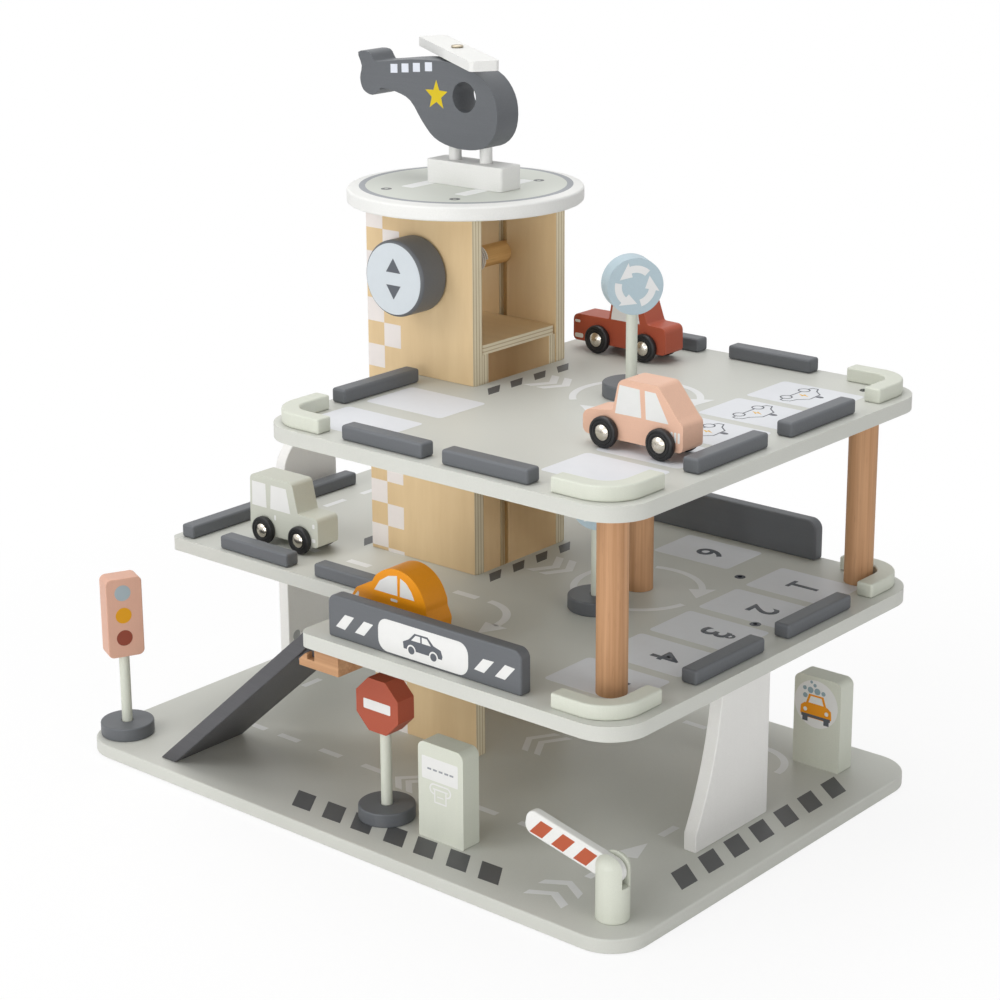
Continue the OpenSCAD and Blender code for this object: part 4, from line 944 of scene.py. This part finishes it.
# %% Print the base
base = flat_top("garage", BASE_TOP)
front_dash = [(-13.6, 9), (1.6, 9.4), (13.6, -8.9), (-1.5, -9.5)]
side_dash = [(-8.7, 14.4), (8.7, 1.3), (8.5, -14), (-8.7, -1.3)]
dashes = copies(front_dash, [(x, 24) for x in (185.7, 211.6, 235.7, 262.8, 287, 313, 337.7)])
dashes += copies(side_dash, [(426.7, y) for y in (92.6, 119.2, 145.3, 171.4, 198.2, 224.3,
                                                  250.9)])
printed("base_edge_dashes", base, dashes, "mark_grey")
marks = [[(366.9, 32.2), (367.3, 38.2), (380.3, 46.8), (394.7, 38.8), (396.7, 31.7),
          (381.2, 41.1)],
         [(368.2, 17.2), (368.1, 22.7), (382.7, 31), (396.5, 22.9), (396.4, 16.6),
          (381.9, 25.6)]]
marks += boxes([(382, 56), (382, 127)], 5, 16)
marks += [[(377.4, 94.2), (384.6, 113.8), (391.8, 94.2), (384.6, 91)]]
marks += [band(361, 247.5, 24, 29, -2, 90)] + boxes([(294, 273.5)], 18, 5)
marks += boxes([(x, 84) for x in (70, 101, 139, 177, 272, 308, 340)], 18, 5)
marks += [chevron(x, 86.5, -11, 11.5, -5.5) for x in (205, 214)]
marks += [chevron(x, 188, -10, 17, -5) for x in (229.7, 240)]
marks += boxes([(51.5, y) for y in (120, 156, 216)], 5, 17)
printed("base_road_marks", base, marks, "road_white")
print("dashes:", len(dashes))

# %% [markdown]
# ### The middle deck
# Six parking bays have white panels with a number. The figures are text turned into a mesh,
# because a curve can't carry a thickness in place. Their tops point to the right edge.

# %% Print the middle deck
STROKE, FIGURE_TALL = 0.45, 26.5


def bay_number(text, x, y):
    face = bpy.data.curves.new("bay_number_" + text, "FONT")
    face.body, face.size, face.offset = text, FIGURE_TALL, STROKE
    face.align_x, face.align_y = "CENTER", "CENTER"
    bm = bmesh.new()
    bm.from_mesh(mesh_of(face))
    bmesh.ops.scale(bm, vec=(MM, MM, MM), verts=bm.verts)
    bmesh.ops.rotate(bm, cent=(0, 0, 0), matrix=Matrix.Rotation(math.radians(-90), 3, "Z"),
                     verts=bm.verts)
    bmesh.ops.translate(bm, vec=at(x, y, MIDDLE_TOP + INK), verts=bm.verts)
    bmesh.ops.remove_doubles(bm, verts=bm.verts, dist=1e-7)
    raise_ink(bm, bm.faces[:], (0, 0, INK * MM))
    bmesh.ops.recalc_face_normals(bm, faces=bm.faces)
    ink_piece("bay_number_" + text, bm, "garage", "line_grey")


middle = flat_top("garage", MIDDLE_TOP)
bays = [panel(283, 253, 341.5, 293.7)]
bays += [panel(366.5, y, 425, y + 42) for y in (37.4, 87, 136, 186, 236)]
printed("middle_deck_bays", middle, bays, "bay_white")
for number, x, y in (("6", 314, 272.5), ("1", 396.5, 256.5), ("2", 399.5, 206.5),
                     ("3", 399, 157), ("4", 400, 108), ("5", 399, 58)):
    bay_number(number, x, y)
printed("bay_number_1_foot", flat_top("garage", MIDDLE_TOP, 2),
        [box_outline(386.4, 251, 389.2, 262.4)], "line_grey")
deck_dash = [(-5.1, 11.6), (4.9, -1.4), (4.9, -11.4), (-5.1, -0.6)]
printed("middle_deck_dashes", middle,
        copies(deck_dash, [(x, y) for x in (235.7, 126.8) for y in (150.8, 173.9, 197.3, 221)]),
        "mark_grey")
marks = [chevron(x, 188, 9, 15.5, 6) for x in (257.5, 268)]
marks += roundabout(317.8, 190.6, 40, 110, -76, 17, 24)
marks += boxes([(x, 109.5) for x in (98, 143.8, 235)], 18.5, 5.5)
marks += boxes([(51, y) for y in (147, 183, 220)], 4.6, 20)
marks += [band(263, 83, 27, 32, 0, 90), [(284, 84), (301, 84), (292.5, 67)]]
printed("middle_deck_road_marks", middle, marks, "road_white")
print("bays:", len(bays))

# %% [markdown]
# ### The top deck
# Three of these bays are for charging. Each of them has a small outline car with a bolt
# and a plug, drawn here from a few points as a line of one width.

# %% Print the top deck
top_deck, over_bays = flat_top("garage", TOP_TOP), flat_top("garage", TOP_TOP, 1)
bays = [panel(196, y, 256.8, y + 42.4) for y in (76, 19.4)]
bays += [panel(366.5, y, 425, y + 42.5) for y in (34, 83, 132, 181.8, 231.8)]
printed("top_deck_bays", top_deck, bays, "bay_white")
WHEEL_RINGS = [disc(x, 1.2, 3.5, 20) for x in (-10, 9.6)]
CAR_LINES = [[(-17, 3), (-17.4, 6.5), (-12, 9), (-7, 14.5), (5, 15), (10.5, 9.6), (16, 7.8),
              (17.6, 4), (16.6, 1.6), (13.2, 1.4)],
             [(-17, 3), (-13.6, 1.4)], [(-6.2, 1.4), (5.8, 1.4)],
             *[rim + rim[:1] for rim in WHEEL_RINGS]]
BOLT = [(1.3, 11.6), (-2.3, 6.6), (-0.2, 6.8), (-1.3, 3.2), (2.4, 7.8), (0.3, 7.6)]
PLUG = [(-4, 15.6), (-0.6, 15.6), (-0.6, 18.4), (-1.6, 19.9), (-3, 19.9), (-4, 18.4)]
PINS = [[(-3.2, 14.6), (-3.2, 15.6)], [(-1.4, 14.6), (-1.4, 15.6)]]
CAR_STROKE, PIN_STROKE = 0.8, 0.6
plots = [(387, y) for y in (153.4, 203.5, 253.5)]


def laid(shape, plot):
    """A shape drawn upright, laid down on a plot with its top to +X."""
    return [(plot[0] + v, plot[1] - u) for u, v in shape]


lines, plugs = [], []
for plot in plots:
    for points in CAR_LINES:
        lines += line(laid(points, plot), CAR_STROKE)
    plugs.append(laid(PLUG, plot))
    for points in PINS:
        plugs += line(laid(points, plot), PIN_STROKE)
printed("charging_cars", over_bays, lines + plugs, "line_grey")
printed("charging_bolts", over_bays, [laid(BOLT, plot) for plot in plots], "sun_yellow")
printed("top_deck_dashes", top_deck,
        copies(deck_dash, [(240, y) for y in (145.5, 167.3, 190.2, 213.4)]), "mark_grey")
marks = [chevron(x, 181, 9, 14, 6) for x in (260.5, 270.6)]
marks += roundabout(317.8, 187, 38.8, 107, -76, 17, 25)
printed("top_deck_road_marks", top_deck, marks, "road_white")
print("charging bays:", len(plots))

# %% [markdown]
# ### The landing pad
# The pad is a white disc with a grey ring, a pale field, and two stripes for the skids. All
# are printed a little off the disc's middle.

# %% Print the landing pad
OFF_MIDDLE, FIELD_R = Vector((-2.6, 3.7, 0)), 63.8
pad, over_field = flat_top("garage", PAD_TOP), flat_top("garage", PAD_TOP, 1)
px, py, _ = middle_of("helipad_disc") + OFF_MIDDLE
printed("pad_field", pad, [disc(px, py, FIELD_R, 96)], "pad_green_grey")
printed("pad_ring", pad, ring(px, py, 63.9, 67.9), "pad_ring_grey")
printed("pad_stripes", over_field, [panel(x, 158.5, x + 9.8, 225, 1.5) for x in (152.3, 196.8)],
        "pad_white")
print("printed pad's centre:", round(px, 1), round(py, 1))

# %% [markdown]
# ### The tower, the knob and the sign board
# A chequered strip runs up the left edge of the tower's front. The winding knob carries a
# pale disc with two triangles, for up and down. The long sign board has a white panel with
# a small car and slanted bars on both sides of it.

# %% Print the tower, the knob and the sign board
tower_low = span("tower_front_wall")[0]
CHECK_WIDE, CHECK_TALL, CHECKS_TOP, KNOB_RIM = 14.1, 15.115, 363.1, 1.7
storeys = [(BASE_TOP, 125), (MIDDLE_TOP, 248.7), (TOP_TOP, 363.7)]
checks = []
for row in range(int((CHECKS_TOP - BASE_TOP) / CHECK_TALL) + 1):
    x = tower_low.x + 0.1 + CHECK_WIDE * (row % 2)
    high = CHECKS_TOP - CHECK_TALL * row
    for low, ceiling in storeys:
        z0, z1 = max(high - CHECK_TALL, low), min(high, ceiling)
        if z1 - z0 > 0.5:
            checks.append(box_outline(x, z0, x + CHECK_WIDE, z1))
printed("tower_checks", front_face("garage", tower_low.y), checks, "check_white")

knob_low, knob_high = span("winding_knob")
kx, _, kz = middle_of("winding_knob")
knob_r = (knob_high.x - knob_low.x) / 2
printed("knob_disc", front_face("winder", knob_low.y), [disc(kx, kz, knob_r - KNOB_RIM, 72)],
        "knob_pale_blue")
printed("knob_triangles", front_face("winder", knob_low.y, 1),
        [[(kx - 6, kz + 4), (kx + 6, kz + 4), (kx, kz + 13)],
         [(kx - 6, kz - 4), (kx, kz - 13), (kx + 6, kz - 4)]], "line_grey")

board_y = span("parking_sign_board")[0].y
bars = [[(240.5, 150), (247.8, 149.9), (240.2, 140.5), (232.9, 141.2)],
        [(255.8, 149.6), (263, 149.2), (255.6, 140.6), (248.3, 140.9)],
        [(347.1, 149.6), (355.1, 149.8), (347.7, 141.3), (340.4, 141.8)],
        [(363.1, 150.1), (370.3, 149.6), (363, 141.2), (355.7, 141.5)]]
shape = [(287, 141), (286.5, 145), (291, 147.3), (295.5, 151.8), (305.5, 152), (310, 147.8),
         (315.5, 146.4), (316.8, 143), (316.3, 141)]
panes = [[(293, 147.2), (296.4, 150.8), (300, 150.9), (300, 147.2)],
         [(301.2, 147.2), (301.2, 150.9), (305, 150.8), (308, 147.2)]]
rims, wheels = [[disc(x, 141, r, 24) for x in (293, 310)] for r in (3.4, 2.4)]
for layer, (what, outlines, ink) in enumerate((
        ("panel", bars + [panel(267, 135.5, 336, 155.5, 7)], "window_white"),
        ("car", [shape], "line_grey"), ("car_panes", panes + rims, "window_white"),
        ("car_wheels", wheels, "line_grey"))):
    printed("sign_board_" + what, front_face("garage", board_y, layer), outlines, ink)
print("checks:", len(checks))

# %% [markdown]
# ### The signs
# The loose signs stand turned to the road, so their faces aren't square to the base. The
# face to print on is found on the CAD mesh itself: its triangles are grouped by the way
# they look, and the largest group that looks the wanted way gives the middle and the axes.

# %% Print the signs
def face_of(node, towards):
    """The largest flat face that looks towards a way, as a Surface with its own middle."""
    mesh = nodes[node].data
    groups = {}
    for polygon in mesh.polygons:
        key = tuple(round(c, 2) for c in polygon.normal)
        groups.setdefault(key, [0.0, []])
        groups[key][0] += polygon.area
        groups[key][1] += polygon.vertices[:]
    best = max(groups, key=lambda k: groups[k][0] * max(0.0, Vector(k).dot(towards)))
    outwards = Vector(best).normalized()
    points = [mesh.vertices[i].co / MM + corner_shift for i in groups[best][1]]
    low, high = reach_of(points)
    centre = (low + high) / 2
    centre += outwards * (max(p.dot(outwards) for p in points) - centre.dot(outwards))
    print(node, "face at", [round(c, 1) for c in centre])
    up = Vector((0, 0, 1))
    return Surface(body_of[node], centre, up.cross(outwards), up)


towards_camera = Vector((0.66, -0.75, 0)).normalized()
arrows = roundabout(0, 0, 10.7, 47, 60, 9.2, 49)
for node in ("upper_roundabout_sign_head", "middle_roundabout_sign_head"):
    for side, way in (("front", towards_camera), ("back", -towards_camera)):
        printed("%s_%s_arrows" % (node, side), face_of(node, way), arrows, "road_white")
printed("octagon_sign_bar", face_of("octagon_sign_head", Vector((0, -1, 0))),
        [panel(-11, -3.2, 11, 3.2, 0.8)], "window_white")
for name, z, ink in (("top", 17.2, "lamp_blue_grey"), ("middle", 1.6, "amber"),
                     ("low", -14, "lamp_red")):
    printed("traffic_lamp_" + name, face_of("traffic_light_head", towards_camera),
            [disc(0, z, 5.4, 36)], ink)
printed("barrier_arm_squares", front_face("barrier", span("barrier_arm")[0].y),
        [[(375.9, 53.9), (384.6, 51.9), (376.6, 43.2), (367.5, 45.0)],
         [(391.9, 50.8), (400.5, 48.6), (391.9, 39.7), (383.2, 41.9)],
         [(407.6, 47.5), (416.4, 45.1), (408.3, 36.4), (399.1, 38.3)]], "brick_red")
print("lamps:", 3)

# %% [markdown]
# ### Ticket machine and wash sign
# The ticket machine has a label and a slot with a ticket half out. The wash sign shows a
# car from the front under a few drops, built from plain shapes.

# %% Print the ticket machine and the wash sign
ticket_y = span("ticket_machine")[0].y
ticket, over_label = [front_face("ticket_machine", ticket_y, layer) for layer in (0, 1)]
printed("ticket_label", ticket, [panel(275, 47.5, 303.5, 62, 0.8)], "window_white")
printed("ticket_label_rule", over_label,
        boxes([(x, 54) for x in (279.5, 284, 288.5, 293, 297)], 3, 1.2), "pad_ring_grey")
printed("ticket_slot", ticket,
        [band(284.5, 42.4, 2.6, 3.6, 90, 270), band(294.5, 42.4, 2.6, 3.6, -90, 90),
         *[box_outline(*corners) for corners in (
             (284.5, 45, 294.5, 46), (283.6, 41.9, 295.4, 42.9), (284.6, 33.6, 285.5, 41.9),
             (293.5, 33.6, 294.4, 41.9), (285.5, 33.6, 293.5, 34.5), (287, 37.6, 292, 38.3))]],
        "window_white")

wash_y = span("wash_sign_block")[0].y
wash_layers = [front_face("wash_sign", wash_y, layer, 0.9) for layer in range(4)]
printed("wash_disc", wash_layers[0], [disc(399.5, 52, 16, 72)], "window_white")
printed("wash_car", wash_layers[1],
        [[(389.7, 42), (409.3, 42), (411.1, 44.3), (410.7, 49.5), (407.9, 51.7), (391.1, 51.7),
          (388.3, 49.5), (387.9, 44.3)],
         [(392, 51.7), (407, 51.7), (404.9, 58.1), (394.1, 58.1)]], "car_orange")
printed("wash_car_glass", wash_layers[2],
        [[(393.9, 52.2), (405.1, 52.2), (403.5, 56.9), (395.5, 56.9)],
         disc(391.6, 47.3, 1.4, 16), disc(407.4, 47.3, 1.4, 16)], "window_white")
printed("wash_car_feet", wash_layers[2],
        [box_outline(389.7, 39.3, 393.6, 42.3), box_outline(405.4, 39.3, 409.3, 42.3),
         box_outline(388.8, 42.3, 410.2, 44.3)], "line_grey")
drops = [disc(x, z, r, 18)
         for x, z, r in ((395.8, 66.4, 1.0), (390.9, 61.6, 1.4), (395.2, 60.9, 2.1),
                         (400.3, 60.8, 2.2), (404.8, 60.4, 1.5), (391.4, 56.6, 1.7),
                         (398.4, 64.6, 1.2))]
printed("wash_drops", wash_layers[3], drops, "drop_blue")
print("drops:", len(drops))

# %% [markdown]
# ### Helicopter and cars
# Windows and lights are printed on both sides of each body, so one list of outlines is
# mirrored to the far side.

# %% Print the helicopter and the cars
def both_sides(name, node, body, outlines, ink):
    low, high = span(node)
    printed(name + "_near", front_face(body, low.y), outlines, ink)
    printed(name + "_far", back_face(body, high.y),
            [[(-u, v) for u, v in outline] for outline in outlines], ink)


star = [(165.2 + r * math.sin(a), 428.9 + r * math.cos(a))
        for k in range(10) for r, a in [((9.7, 4.1)[k % 2], math.radians(36 * k))]]
both_sides("helicopter_star", "helicopter_body", "helicopter", [star], "star_yellow")
panes = [[(x, z), (x + 5.9, z + 0.4), (x + 5.9, z + 6), (x, z + 5.6)]
         for x, z in ((126.5, 440), (136, 441), (145.7, 442.1), (155.9, 443.3))]
both_sides("helicopter_panes", "helicopter_body", "helicopter", panes, "pane_white")

car_prints = {
    "red_car": [[(242.8, 281.5), (265.8, 281.5), (262.8, 297), (245.2, 297)],
                panel(213.3, 275.5, 217.6, 277.3, 0.8), panel(213.2, 265.4, 220, 268.3, 1.0)],
    "pink_car": [[(377.5, 295.7), (391.5, 295.2), (392.8, 279), (374.5, 278.8)],
                 [(395, 295.2), (402.5, 295), (411.5, 278.8), (396, 278.8)]]
                + [panel(x, 269, x + 1.5, 275, 0.6) for x in (413, 415.4, 417.8)],
    "green_car": [[(65.1, 174.7), (77.6, 174.7), (78.1, 158.2), (64.6, 158.2)],
                  [(82.6, 174.7), (96.6, 174.7), (100.1, 158.4), (81.6, 158.4)],
                  panel(85.1, 151.2, 86.6, 154.7, 0.6), panel(120.1, 152.7, 122.1, 155.7, 0.8),
                  panel(119.1, 143.2, 122.6, 145.7, 0.8)],
    "orange_car": [[(244.5, 161), (263, 161), (263, 173.5), (256, 172), (249, 167.5)],
                   [(265, 161), (276.5, 161), (274, 166), (270, 170.5), (265.5, 172.5)],
                   panel(257.5, 156.8, 263, 158.5, 0.7),
                   [(227, 152), (231.2, 157), (232, 156), (231, 152.4)]],
}
for car, outlines in car_prints.items():
    both_sides(car + "_windows", car + "_body", car, outlines, "window_white")
print("printed cars:", len(car_prints))
